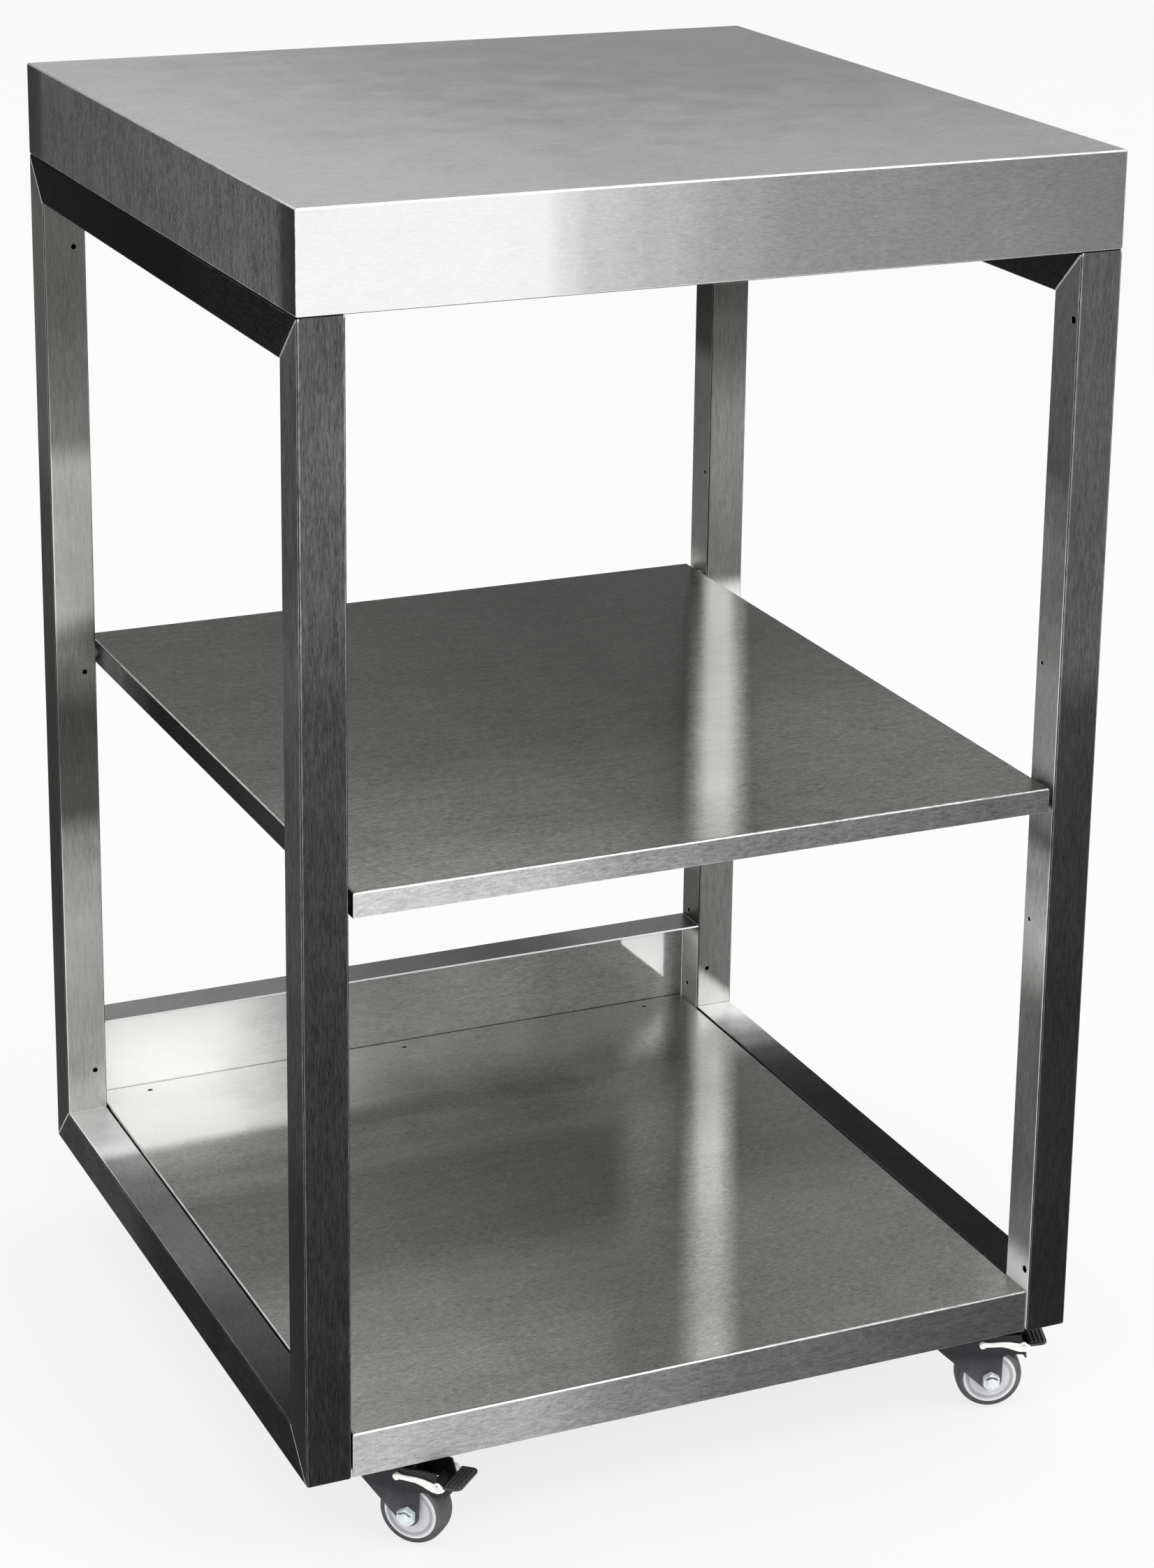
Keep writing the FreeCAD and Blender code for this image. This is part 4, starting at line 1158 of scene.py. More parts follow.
@dataclass
class SideFrame:
    """One welded side frame: two uprights and two rails of square tube, mitred at the corners."""

    side: int
    effects: Effects
    inside: Material
    corner_radius: float = 2 * MM
    wall: float = 1.5 * MM
    edge: float = 0.35 * MM
    ground_end: float = 1.2 * MM
    door_pivot_hole: float = 2.75 * MM
    door_pivot_inset: float = 6.5 * MM
    door_pivot_offset: float = 360.5 * MM
    catch_hole: float = 1.6 * MM
    catch_inset: float = 25 * MM
    catch_heights: Pair = (388.0 * MM, 583.5 * MM)
    screw_hole: float = 2 * MM
    screw_inset: float = 23.5 * MM
    screw_offsets: Triple = (-341.0 * MM, 0.0, 341.0 * MM)
    panel_hole_inset: float = 13 * MM
    panel_heights: Pair = (115.5 * MM, 184.0 * MM)
    # A painted glint on the ground top of the front faces, and the brightest painted edge highlight.
    glint: float = 0.97
    glint_reach: Pair = (2.2 * MM, 1.4 * MM)
    brightest_rim: float = 0.95
    brightest_seam: float = 0.9
    seam_lift: float = 0.5
    steepest_look: float = 0.5

    def tube(self, node: str, length: Axis, inner: Triple) -> Bench:
        """Models one tube with mitred ends, rounded corners and its bore.

        Args:
            node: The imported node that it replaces.
            length: The axis that it runs along.
            inner: The direction towards the middle of the side frame.

        Returns:
            The tube on its bench.
        """
        low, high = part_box(node)
        middle, size = (low + high) / 2, min(high - low)
        inward, run = Vector(inner), length.value
        bench = Bench.box(node + "_tube", low, high)
        bench.edit()
        for end in (-1, 1):
            bench.pick(Pick.POINTS, lambda p, n: (p - middle).dot(inward) > 0 and (p - middle)[run] * end > 0)
            step = Vector()
            step[run] = -end * size
            bench.move(step)
        bench.rest()
        bench.round_where(lambda p, d: abs(d[run]) > STRAIGHT, self.corner_radius, 5)
        bench.rest()
        if length is Axis.Z and inward.y > 0:
            bench.round_where(lambda p, d: same(p.z, high.z) and same(p.y, low.y), self.ground_end, 4)
            bench.rest()
        margin = Vector([-size if axis is length else self.wall for axis in Axis])
        bench.cut(Bench.box("bore", low + margin, high - margin))
        return bench

    def inner_holes(self, bench: Bench, node: str, radius: float, inset: float, heights: Numbers) -> None:
        """Drills holes through the wall that faces the inside of the cart.

        Args:
            bench: The upright.
            node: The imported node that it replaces.
            radius: The holes' radius.
            inset: How far they lie from the cart's front or rear.
            heights: Their heights.
        """
        low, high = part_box(node)
        face = high.x if self.side < 0 else low.x
        y = low.y + inset if low.y < 0 else high.y - inset
        for z in heights:
            bench.drill(radius, (face - 3 * self.wall, y, z), (face + 3 * self.wall, y, z))

    def drill_upright(self, bench: Bench, node: str) -> None:
        """Drills an upright for catches, and for door pins in front or screws and the rear panel behind.

        Args:
            bench: The upright.
            node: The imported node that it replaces.
        """
        low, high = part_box(node)
        middle, reach = (low.z + high.z) / 2, 3 * self.wall
        self.inner_holes(bench, node, self.catch_hole, self.catch_inset, self.catch_heights)
        if low.y < 0:
            pivots = middle - self.door_pivot_offset, middle + self.door_pivot_offset
            self.inner_holes(bench, node, self.door_pivot_hole, self.door_pivot_inset, pivots)
            return
        x = self.side * (max(abs(low.x), abs(high.x)) - self.screw_inset)
        for offset in self.screw_offsets:
            z = middle + offset
            bench.drill(self.screw_hole, (x, low.y - reach, z), (x, low.y + reach, z))
        self.inner_holes(bench, node, self.screw_hole, self.panel_hole_inset, self.panel_heights)

    def finish(self, bench: Bench, node: str, finishes: dict[Face, Material]) -> None:
        """Rounds, dresses and hands over one tube.

        Args:
            bench: The tube.
            node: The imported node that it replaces.
            finishes: The material of each face.
        """
        bench.soften(self.edge, 2, 44.0)
        bench.polish()
        bench.mark_rims()
        bench.dress(finishes)
        low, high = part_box(node)
        skin = Vector(ONES) * (self.wall / 3)
        # The bore takes the inside material, painted dark as shade.
        bench.line(low + skin, high - skin, self.inside)
        bench.hand_over("frame", "frame_steel", node)

    def build(self, tones: dict[str, Tones], sheens: PaintedLightAndShade) -> None:
        """Models the four tubes of this side.

        Args:
            tones: The painted tones of each tube's faces.
            sheens: The lanes and patches of painted light and shade on some of those faces.
        """
        plan = (("front_upright", Axis.Z, (0, 1, 0)), ("rear_upright", Axis.Z, (0, -1, 0)),
                ("top_rail", Axis.Y, (0, 0, -1)), ("bottom_rail", Axis.Y, (0, 0, 1)))
        for place, length, inner in plan:
            node = f"{'left' if self.side < 0 else 'right'}_{place}"
            bench = self.tube(node, length, inner)
            if length is Axis.Z:
                self.drill_upright(bench, node)
            self.finish(bench, node, self.materials(node, length, tones[node], sheens))

    def rims(self, face: Face, length: Axis, stops: Stops, lift: float) -> Stops:
        """Gives the tones of the rounded edges beside a face, painted lighter as edge highlights.

        Args:
            face: The face.
            length: The axis that the tube runs along.
            stops: The face's own tones.
            lift: How much brighter the painted edge highlights are.

        Returns:
            Their tones, with a painted glint on the ground end of a front face.
        """
        rims = tuple((where, min(self.brightest_rim, tone + lift)) for where, tone in stops)
        if length is Axis.Y or face is not Face.FRONT:
            return rims
        (top, last), (start, full) = rims[-1], self.glint_reach
        return (*rims[:-1], (top - start, last), (top - full, self.glint), (top, self.glint))

    def materials(self, node: str, length: Axis, tones: Tones, sheens: PaintedLightAndShade) -> dict[Face, Material]:
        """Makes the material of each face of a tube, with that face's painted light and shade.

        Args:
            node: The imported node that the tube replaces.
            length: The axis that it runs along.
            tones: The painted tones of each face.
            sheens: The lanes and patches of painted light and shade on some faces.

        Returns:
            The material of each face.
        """
        near, smooth = "front_upright" in node, "rear_upright" in node
        # Each face's brightest painted tones glow this much, as painted sunlight.
        lifts = {Face.TOP: 0.25, Face.LEFT: 0.12, Face.FRONT: 0.4 if near else 0.0}
        low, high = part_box(node)
        to_camera = (Vector(Studio.place) - (low + high) / 2).normalized()
        made = {}
        for face, stops in tones.items():
            look = min(self.steepest_look, abs(to_camera.dot(face.value)))
            seam = None
            if face in (Face.LEFT, Face.RIGHT):
                seam = min(self.brightest_seam, stops[0][1] + self.seam_lift)
            made[face] = SteelFinish(
                f"{node}_{face.name.lower()}", length, length, stops, sheens=sheens.get((node, face), ()),
                rims=self.rims(face, length, stops, 0.22 if near else 0.13),
                contrast=0.5 if smooth or face is Face.TOP else 0.85 if "right_front" in node else 1.15,
                edge_tint=true_tint(min(tone for _, tone in stops), look), bare=0.3,
                lift=lifts.get(face, 0.0), streak=200.0, cloud=0.25 if smooth else 0.5, cloud_scale=24.0,
                seam=seam, tint=WARM if smooth else NEUTRAL).build(self.effects)
        return made


@dataclass
class FoldedSheet:
    """What the worktop, the shelves and the rear panel share: their sheet, its edges and its dressing."""

    effects: Effects
    sheet: float = 1.5 * MM
    edge: float = 0.3 * MM

    def finish(self, bench: Bench, node: str, finishes: dict[Face, SteelFinish], angle: float = 50.0) -> None:
        """Rounds, dresses and hands over one folded sheet.

        Args:
            bench: The sheet.
            node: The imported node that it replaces.
            finishes: The finish of each direction.
            angle: The least angle of an edge that is rounded, in degrees.
        """
        bench.soften(self.edge, 2, angle)
        bench.polish()
        bench.mark_rims()
        bench.dress({face: finish.build(self.effects) for face, finish in finishes.items()})
        bench.hand_over("frame", "sheet_steel", node)


@dataclass
class Worktop(FoldedSheet):
    """The deep folded worktop, hollow below, with a return along the foot of its skirt."""

    fold: float = 33 * MM
    bend: float = 1.8 * MM

    def build(self, finishes: dict[Face, SteelFinish]) -> None:
        """Models and dresses the worktop.

        Args:
            finishes: The finish of each direction.
        """
        low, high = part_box("worktop")
        middle, span = (low + high) / 2, (high - low) / 2
        bench = Bench.box("worktop_lid", low, high)
        bench.round_where(lambda p, d: True, self.bend, 5)
        bench.pick(Pick.FACES, lambda p, n: n.z < -STRAIGHT)
        bench.inset(self.fold - self.bend)
        bench.pull((0, 0, self.sheet))
        bench.pull((0, 0, 0))
        wider = [(half - self.sheet) / (half - self.fold) for half in (span.x, span.y)]
        bench.grow((*wider, 1), (middle.x, middle.y, low.z + self.sheet))
        bench.pull((0, 0, high.z - low.z - 2 * self.sheet))
        bench.rest()
        self.finish(bench, "worktop", finishes, 60.0)


@dataclass
class Shelves(FoldedSheet):
    """The middle shelf, the bottom shelf and the rear panel."""

    bend: float = 2 * MM
    bottom_side_flange: float = 24 * MM
    bottom_hole: float = 2 * MM
    bottom_hole_spacing: float = 225 * MM
    bottom_hole_inset: float = 12.2 * MM
    notch_middle: float = 265 * MM
    notch_half: float = 30 * MM

    def tray(self, node: str, rounded: Callable[[Vector], bool]) -> Bench:
        """Models a sheet folded down on its sides, open below.

        Args:
            node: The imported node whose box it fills.
            rounded: Says which upper edges are folds, by their middle.

        Returns:
            The tray on its bench.
        """
        low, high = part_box(node)
        bench = Bench.box(node + "_tray", low, high)
        bench.round_where(lambda p, d: same(p.z, high.z) and rounded(p), self.bend, 5)
        bench.pick(Pick.FACES, lambda p, n: n.z < -STRAIGHT)
        bench.inset(self.sheet)
        bench.pull((0, 0, high.z - low.z - self.sheet))
        bench.rest()
        return bench

    def middle(self, finishes: dict[Face, SteelFinish]) -> None:
        """Models the middle shelf."""
        self.finish(self.tray("middle_shelf", lambda p: True), "middle_shelf", finishes)

    def bottom(self, finishes: dict[Face, SteelFinish]) -> None:
        """Models the bottom shelf with its deep front flange, notched sides and three holes.

        Args:
            finishes: The finish of each direction.
        """
        low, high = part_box("bottom_shelf")
        bench = self.tray("bottom_shelf", lambda p: p.y < high.y - NEAR)
        sheet, wide = self.sheet, high.x + self.sheet
        behind, floor, under = low.y + sheet, low.z - sheet, high.z - sheet
        bench.cut(Bench.box("rear_opening", (low.x + sheet, high.y - 2 * sheet, floor),
                            (high.x - sheet, high.y + sheet, under)))
        bench.cut(Bench.box("side_trim", (-wide, behind, floor),
                            (wide, high.y + sheet, high.z - self.bottom_side_flange)))
        for middle in (-self.notch_middle, self.notch_middle):
            bench.cut(Bench.box("notch", (-wide, max(middle - self.notch_half, behind), floor),
                                (wide, middle + self.notch_half, under)))
        y = high.y - self.bottom_hole_inset
        for x in (-self.bottom_hole_spacing, 0.0, self.bottom_hole_spacing):
            bench.drill(self.bottom_hole, (x, y, high.z - 3 * sheet), (x, y, high.z + sheet))
        self.finish(bench, "bottom_shelf", finishes)

    def panel(self, finishes: dict[Face, SteelFinish]) -> None:
        """Models the rear panel, a kerb with its top flange folded forward.

        Args:
            finishes: The finish of each direction.
        """
        low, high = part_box("rear_panel")
        bench = Bench.box("rear_panel_kerb", (low.x, high.y - self.sheet, low.z), high)
        bench.edit()
        bench.pick(Pick.FACES, lambda p, n: n.z > STRAIGHT)
        bench.move((0, 0, -self.sheet))
        bench.pull((0, 0, self.sheet))
        bench.pick(Pick.FACES, lambda p, n: n.y < -STRAIGHT and p.z > high.z - self.sheet)
        bench.pull((0, low.y - high.y + self.sheet, 0))
        bench.rest()
        bench.round_where(lambda p, d: same(p.z, high.z) and same(p.y, high.y), self.bend, 5)
        bench.rest()
        self.finish(bench, "rear_panel", finishes)


@dataclass
class Caster:
    """A swivel caster with a brake pedal, drawn about its swivel axis with the wheel trailing along +X."""

    height: float = 70 * MM
    inset_x: float = 71 * MM
    inset_y: float = 35 * MM
    trail: float = 24 * MM
    drop: float = -45 * MM
    wheel_radius: float = 25 * MM
    wheel_half: float = 10 * MM
    rim_radius: float = 20 * MM
    tyre_side: float = 23 * MM
    tread_half: float = 4 * MM
    bore_radius: float = 4.06 * MM
    boss_radius: float = 7.5 * MM
    boss_half: float = 11.3 * MM
    groove_radius: float = 16.6 * MM
    groove_half: float = 0.7 * MM
    groove_depth: float = 0.8 * MM
    fork_inner: float = 11.8 * MM
    fork_outer: float = 13.8 * MM
    fork_top: float = -8 * MM
    fork_sheet: float = 2 * MM
    fork_nose: float = 27 * MM
    fork_tail: float = 50.5 * MM
    fork_tail_top: float = 45.5 * MM
    fork_bottom: float = -24.5 * MM
    leg_half: float = 8.5 * MM
    shoulder: float = 4 * MM
    race_radius: float = 18.5 * MM
    race_height: float = 2.2 * MM
    kingpin: float = 5.06 * MM
    axle: float = 4 * MM
    hexagon: float = 12 * MM
    head_height: float = 4.5 * MM
    nut_height: float = 5 * MM
    bolt_end: float = -21.3 * MM
    thread: float = 1.25 * MM
    pivot_x: float = 16.5 * MM
    pivot_z: float = -15.2 * MM
    pivot_radius: float = 1.86 * MM
    arm_inner: float = 14.3 * MM
    arm_outer: float = 16.1 * MM
    eye_x: float = 47.5 * MM
    eye_z: float = -16.6 * MM
    eye_radius: float = 3 * MM
    eye_hole: float = 1.3 * MM
    tab_start: float = 52 * MM
    tab_end: float = 65.5 * MM
    tab_z: float = -16 * MM
    tab_thick: float = 1.8 * MM
    tab_corner: float = 5 * MM
    tab_lift: float = 5.0
    rib_width: float = 1.5 * MM
    rib_height: float = 0.9 * MM
    rib_start: float = 1.9 * MM
    rib_pitch: float = 3.1 * MM
    ribs: int = 4
    fork_fold: float = 2.5 * MM
    race_round: float = 1 * MM
    pin_hole: float = 1.8 * MM
    pin_radius: float = 1.75 * MM
    pin_reach: float = 16.6 * MM
    pin_head: float = 2.5 * MM
    pin_rise: float = 1.2 * MM
    edge: float = 0.3 * MM
    arm_edge: float = 0.45 * MM
    rib_edge: float = 0.5 * MM
    nut_edge: float = 0.18 * MM
    bolt_edge: float = 0.12 * MM
    chamfer: float = 0.9 * MM
    chamfer_gap: float = 0.02 * MM
    nut_gap: float = 0.05 * MM
    thread_depth: float = 0.6 * MM
    tip_depth: float = 1.1 * MM
    tyre_lip: float = 0.5 * MM
    ridge: float = 0.25 * MM
    ridge_height: float = 0.12 * MM
    web_dish: float = 0.45 * MM
    web_slope: float = 2.2 * MM

    def about_axle(self, name: str, profile: Sequence[Pair], closed: bool = True, steps: int = 96) -> Bench:
        """Turns a profile about the axle.

        Args:
            name: The piece's name.
            profile: Each point's place along the axle and its radius.
            closed: Whether the profile is closed, as for a ring.
            steps: How many steps the full turn takes.

        Returns:
            The turned piece.
        """
        points = [(self.trail + r, y, self.drop) for y, r in profile]
        bench = Bench.outline(name, points, closed)
        bench.turn_round((self.trail, 0, self.drop), (0, 1, 0), steps)
        return bench

    def both_sides(self, name: str, half: Sequence[Pair]) -> Bench:
        """Turns half a profile and its mirror image about the axle."""
        return self.about_axle(name, [*half, *((-y, r) for y, r in reversed(half))])

    def tyre(self) -> Bench:
        """Models the tyre: a flat tread with a fine parting ridge between two round shoulders.

        Returns:
            The tyre.
        """
        run, crown = self.wheel_half - self.tread_half, self.wheel_radius - self.tyre_side
        radius = (run ** 2 + crown ** 2) / (2 * crown)
        reach = math.degrees(math.asin(run / radius))
        tread, lip = self.wheel_radius - self.ridge_height, self.tyre_lip
        half = [(self.ridge, self.wheel_radius), (2 * self.ridge, tread),
                *arc((self.tread_half, tread - radius), radius, 90, 90 - reach, 8),
                (self.wheel_half, self.tyre_side - lip), (self.wheel_half, self.rim_radius + lip),
                (self.wheel_half - lip, self.rim_radius)]
        return self.both_sides("tyre", half)

    def wheel_core(self) -> Bench:
        """Models the wheel's core: a bored boss, a slightly dished web and a ring groove on each side.

        Returns:
            The core.
        """
        face, lip, web = self.wheel_half, self.edge, self.wheel_half - self.web_dish
        inner, outer = self.groove_radius - self.groove_half, self.groove_radius + self.groove_half
        floor = (face - self.groove_depth + self.groove_half, self.groove_radius)
        half = [(self.boss_half, self.bore_radius), (self.boss_half, self.boss_radius - lip),
                (self.boss_half - lip, self.boss_radius), (web + lip, self.boss_radius),
                (web, self.boss_radius + lip), (web, inner - self.web_slope), (face, inner - lip),
                (face - lip, inner), *arc(floor, self.groove_half, 270, 90, 8), (face - lip, outer),
                (face, outer + lip), (face, self.rim_radius - lip), (face - lip, self.rim_radius)]
        return self.both_sides("wheel_core", half)

    def fork(self) -> Bench:
        """Models the folded fork with its ball race, pin holes and rounded folds.

        Returns:
            The fork.
        """
        nose = (-self.fork_nose, self.fork_top - self.fork_sheet)
        axle = (self.trail, self.drop)
        gap = math.hypot(axle[0] - nose[0], axle[1] - nose[1])
        slope = math.atan2(axle[1] - nose[1], axle[0] - nose[0]) - math.asin(self.leg_half / gap)
        right = axle[0] + self.leg_half
        outline = [(-self.fork_nose, self.fork_top), nose,
                   *arc(axle, self.leg_half, math.degrees(slope) - 90, 0, 14),
                   *arc((right + self.shoulder, self.fork_bottom - self.shoulder), self.shoulder, 180, 90, 6),
                   (self.fork_tail, self.fork_bottom), (self.fork_tail_top, self.fork_top)]
        outer, inner, deep = 2 * self.fork_outer, self.fork_inner, 2 * self.drop
        bench = Bench.outline("fork", [(x, -self.fork_outer, z) for x, z in outline])
        bench.thicken((0, outer, 0))
        bench.round_where(lambda p, d: same(p.z, self.fork_top) and abs(d.x) > STRAIGHT, self.fork_fold, 6)
        bench.rest()
        bench.cut(Bench.box("inside", (-2 * self.fork_nose, -inner, deep),
                            (2 * self.fork_tail, inner, self.fork_top - self.fork_sheet)),
                  Bench.box("open_top", (self.fork_nose, -inner, deep),
                            (2 * self.fork_tail, inner, -self.fork_top)))
        top = self.fork_top + self.race_height
        foot = self.fork_top - self.fork_sheet / 2
        race = Bench.rod("race", self.race_radius, (0, 0, foot), (0, 0, top), 64)
        race.round_where(lambda p, d: same(p.z, top), self.race_round, 4)
        race.rest()
        bench.add(race)
        for radius, x, z in ((self.axle, self.trail, self.drop), (self.pin_hole, self.pivot_x, self.pivot_z)):
            bench.drill(radius, (x, -outer, z), (x, outer, z))
        bench.drill(self.kingpin, (0, 0, deep), (0, 0, -self.fork_top))
        bench.soften(self.edge, 3, 50.0)
        return bench

    def hexagon_block(self, name: str, start: float, end: float) -> Bench:
        """Models a hexagonal head or nut on the axle, with its outer corners chamfered.

        Args:
            name: The piece's name.
            start: Where it starts along the axle.
            end: Where it ends along the axle, with the chamfer.

        Returns:
            The head or nut, with a corner up.
        """
        corner = self.hexagon / math.sqrt(3)
        at = Vector((self.trail, 0, self.drop))
        ends = at + Vector((0, start, 0)), at + Vector((0, end, 0))
        block = Bench.rod(name, corner, *ends, 6)
        top = max((v.co for v in block.thing.data.vertices), key=lambda p: p.z) - at
        block.lean(math.atan2(top.x, top.z), at)
        turned = Bench.rod("chamfer", corner - self.chamfer_gap, *ends, 64)
        turned.round_where(lambda p, d: same(p.y, end) and abs(d.y) < 0.5, self.chamfer, 1)
        turned.rest()
        block.combine(turned, "INTERSECT")
        return block

    def axle_nut(self) -> Bench:
        """Models the nut, bored for the thread.

        Returns:
            The nut.
        """
        near, far = -self.fork_outer, -self.fork_outer - self.nut_height
        block = self.hexagon_block("axle_nut", near, far)
        block.drill(self.axle + self.nut_gap, (self.trail, near + MM, self.drop),
                    (self.trail, far - MM, self.drop), 48)
        block.soften(self.nut_edge, 2, 25.0)
        return block

    def axle_bolt(self) -> Bench:
        """Models the bolt: a chamfered head, a plain shank and a threaded end with a pointed tip.

        Returns:
            The bolt.
        """
        head = self.hexagon_block("axle_bolt", self.fork_outer, self.fork_outer + self.head_height)
        tip, root, pitch = self.bolt_end, self.axle - self.thread_depth, self.thread
        profile = [(self.fork_outer + MM, 0.0), (self.fork_outer + MM, self.axle)]
        first = -self.fork_outer - 2 * MM
        for k in range(int((first - tip - MM) / pitch)):
            y = first - k * pitch
            profile += [(y, self.axle), (y - 0.15 * pitch, self.axle), (y - 0.45 * pitch, root),
                        (y - 0.6 * pitch, root)]
        profile += [(tip + MM, self.axle), (tip, self.axle - self.tip_depth), (tip, 0.0)]
        head.add(self.about_axle("shank", profile, closed=False, steps=48))
        head.soften(self.bolt_edge, 2, 55.0)
        return head

    def arm_outline(self) -> list[Pair]:
        """Draws one arm of the pedal about its bowed middle line.

        Returns:
            The outline's points, seen from the side.
        """
        spine = ((16.5, -15.2, 2.3), (20.5, -15.3, 1.8), (25.0, -15.2, 1.8), (31.0, -15.0, 2.0),
                 (36.0, -15.6, 2.4), (41.0, -17.0, 2.9), (45.0, -18.1, 3.1), (48.5, -18.5, 2.8),
                 (51.5, -17.6, 2.1), (53.0, -16.7, 1.3))
        upper, lower = [], []
        for k, (x, z, half) in enumerate(spine):
            a, b = spine[max(k - 1, 0)], spine[min(k + 1, len(spine) - 1)]
            run = Vector((b[0] - a[0], b[1] - a[1])).normalized()
            upper.append(((x - run.y * half) * MM, (z + run.x * half) * MM))
            lower.append(((x + run.y * half) * MM, (z - run.x * half) * MM))
        x, z, half = (v * MM for v in spine[0])
        turn = math.degrees(math.atan2(spine[1][1] - spine[0][1], spine[1][0] - spine[0][0]))
        cap = arc((x, z), half, turn + 270, turn + 90, 10)
        return [*cap[1:-1], *upper, *reversed(lower)]

    def pedal_arms(self) -> Bench:
        """Models the two bowed arms of the pedal with the eye at the end of each.

        Returns:
            The two arms as one piece.
        """
        arms, thick = [], self.arm_outer - self.arm_inner
        for near in (-self.arm_outer, self.arm_inner):
            far = near + thick
            arm = Bench.outline("arm", [(x, near, z) for x, z in self.arm_outline()])
            arm.thicken((0, thick, 0))
            arm.add(Bench.rod("eye", self.eye_radius, (self.eye_x, near, self.eye_z),
                              (self.eye_x, far, self.eye_z), 40))
            for radius, x, z in ((self.eye_hole, self.eye_x, self.eye_z),
                                 (self.pivot_radius, self.pivot_x, self.pivot_z)):
                arm.drill(radius, (x, near - MM, z), (x, far + MM, z))
            arm.soften(self.arm_edge, 3, 50.0)
            arms.append(arm)
        arms[0].add(arms[1])
        arms[0].thing.name = "pedal_arms"
        return arms[0]

    def pedal_tab(self) -> Bench:
        """Models the pedal's tab: a plate with round corners, ribs and a slight lift.

        Returns:
            The tab.
        """
        half = self.tab_thick / 2
        upper = self.tab_z + half
        tab = Bench.box("pedal_tab", (self.tab_start, -self.arm_outer, self.tab_z - half),
                        (self.tab_end, self.arm_outer, upper))
        tab.round_where(lambda p, d: abs(d.z) > STRAIGHT and same(p.x, self.tab_end), self.tab_corner, 8)
        tab.rest()
        reach = self.arm_outer - self.tab_corner / 2
        for k in range(self.ribs):
            x = self.tab_start + self.rib_start + k * self.rib_pitch
            rib = Bench.box("rib", (x - self.rib_width / 2, -reach, self.tab_z),
                            (x + self.rib_width / 2, reach, upper + self.rib_height))
            rib.round_where(lambda p, d: p.z > upper and abs(d.z) < 0.5, self.rib_edge, 3)
            rib.rest()
            tab.add(rib)
        tab.soften(self.edge, 3, 50.0)
        tab.lean(math.radians(self.tab_lift), (self.tab_start, 0, self.tab_z))
        return tab

    def pedal_pin(self) -> Bench:
        """Models the riveted pin that the pedal turns on, with a domed head at each end.

        Returns:
            The pin.
        """
        reach, head, rise = self.pin_reach, self.pin_head, self.pin_rise
        half = [(0.0, self.pin_radius), (reach, self.pin_radius), (reach, head), (reach + rise / 3, head),
                (reach + rise / 1.5, 0.8 * head), (reach + rise, 0.45 * head), (reach + rise, 0.0)]
        profile = [*((-y, r) for y, r in reversed(half)), *half[1:]]
        points = [(self.pivot_x + r, y, self.pivot_z) for y, r in profile]
        pin = Bench.outline("pedal_pin", points, closed=False)
        pin.turn_round((self.pivot_x, 0, self.pivot_z), (0, 1, 0), 40)
        return pin

    def put(self, master: Bench, piece: str, corner: Corner, body: str, slot: str) -> None:
        """Copies a master to one corner of the cart and hands it over.

        Args:
            master: The piece about its swivel axis.
            piece: The node's name without its corner.
            corner: The caster that the copy goes to.
            body: The body's name without its corner.
            slot: The record's material slot.
        """
        side, end, angle = corner.value
        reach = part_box("worktop")[1]
        copy = master.copy(f"{corner.name}_{piece}_piece")
        copy.place(math.radians(angle),
                   (side * (reach.x - self.inset_x), end * (reach.y - self.inset_y), self.height))
        node = f"{corner.name}_{piece}"
        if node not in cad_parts:
            node = f"{corner.name}_brake_pedal"
        copy.hand_over(f"{corner.name}_{body}", slot, node)

    def build(self, finishes: dict[str, Material]) -> None:
        """Models the masters once and sets a copy of each at all four corners.

        Args:
            finishes: The material of each piece.
        """
        plan = ((self.fork, "fork", "caster_steel"), (self.wheel_core, "wheel", "wheel_plastic"),
                (self.tyre, "wheel", "tyre_rubber"), (self.axle_bolt, "fork", "fastener_steel"),
                (self.axle_nut, "fork", "fastener_steel"), (self.pedal_arms, "pedal", "pedal_steel"),
                (self.pedal_tab, "pedal", "pedal_steel"), (self.pedal_pin, "fork", "fastener_steel"))
        for make, body, slot in plan:
            master, piece = make(), make.__name__
            master.polish(28.0 if body == "wheel" else 35.0)
            master.mark_own_place()
            master.coat(finishes[piece])
            for corner in Corner:
                self.put(master, piece, corner, body, slot)
            master.discard()


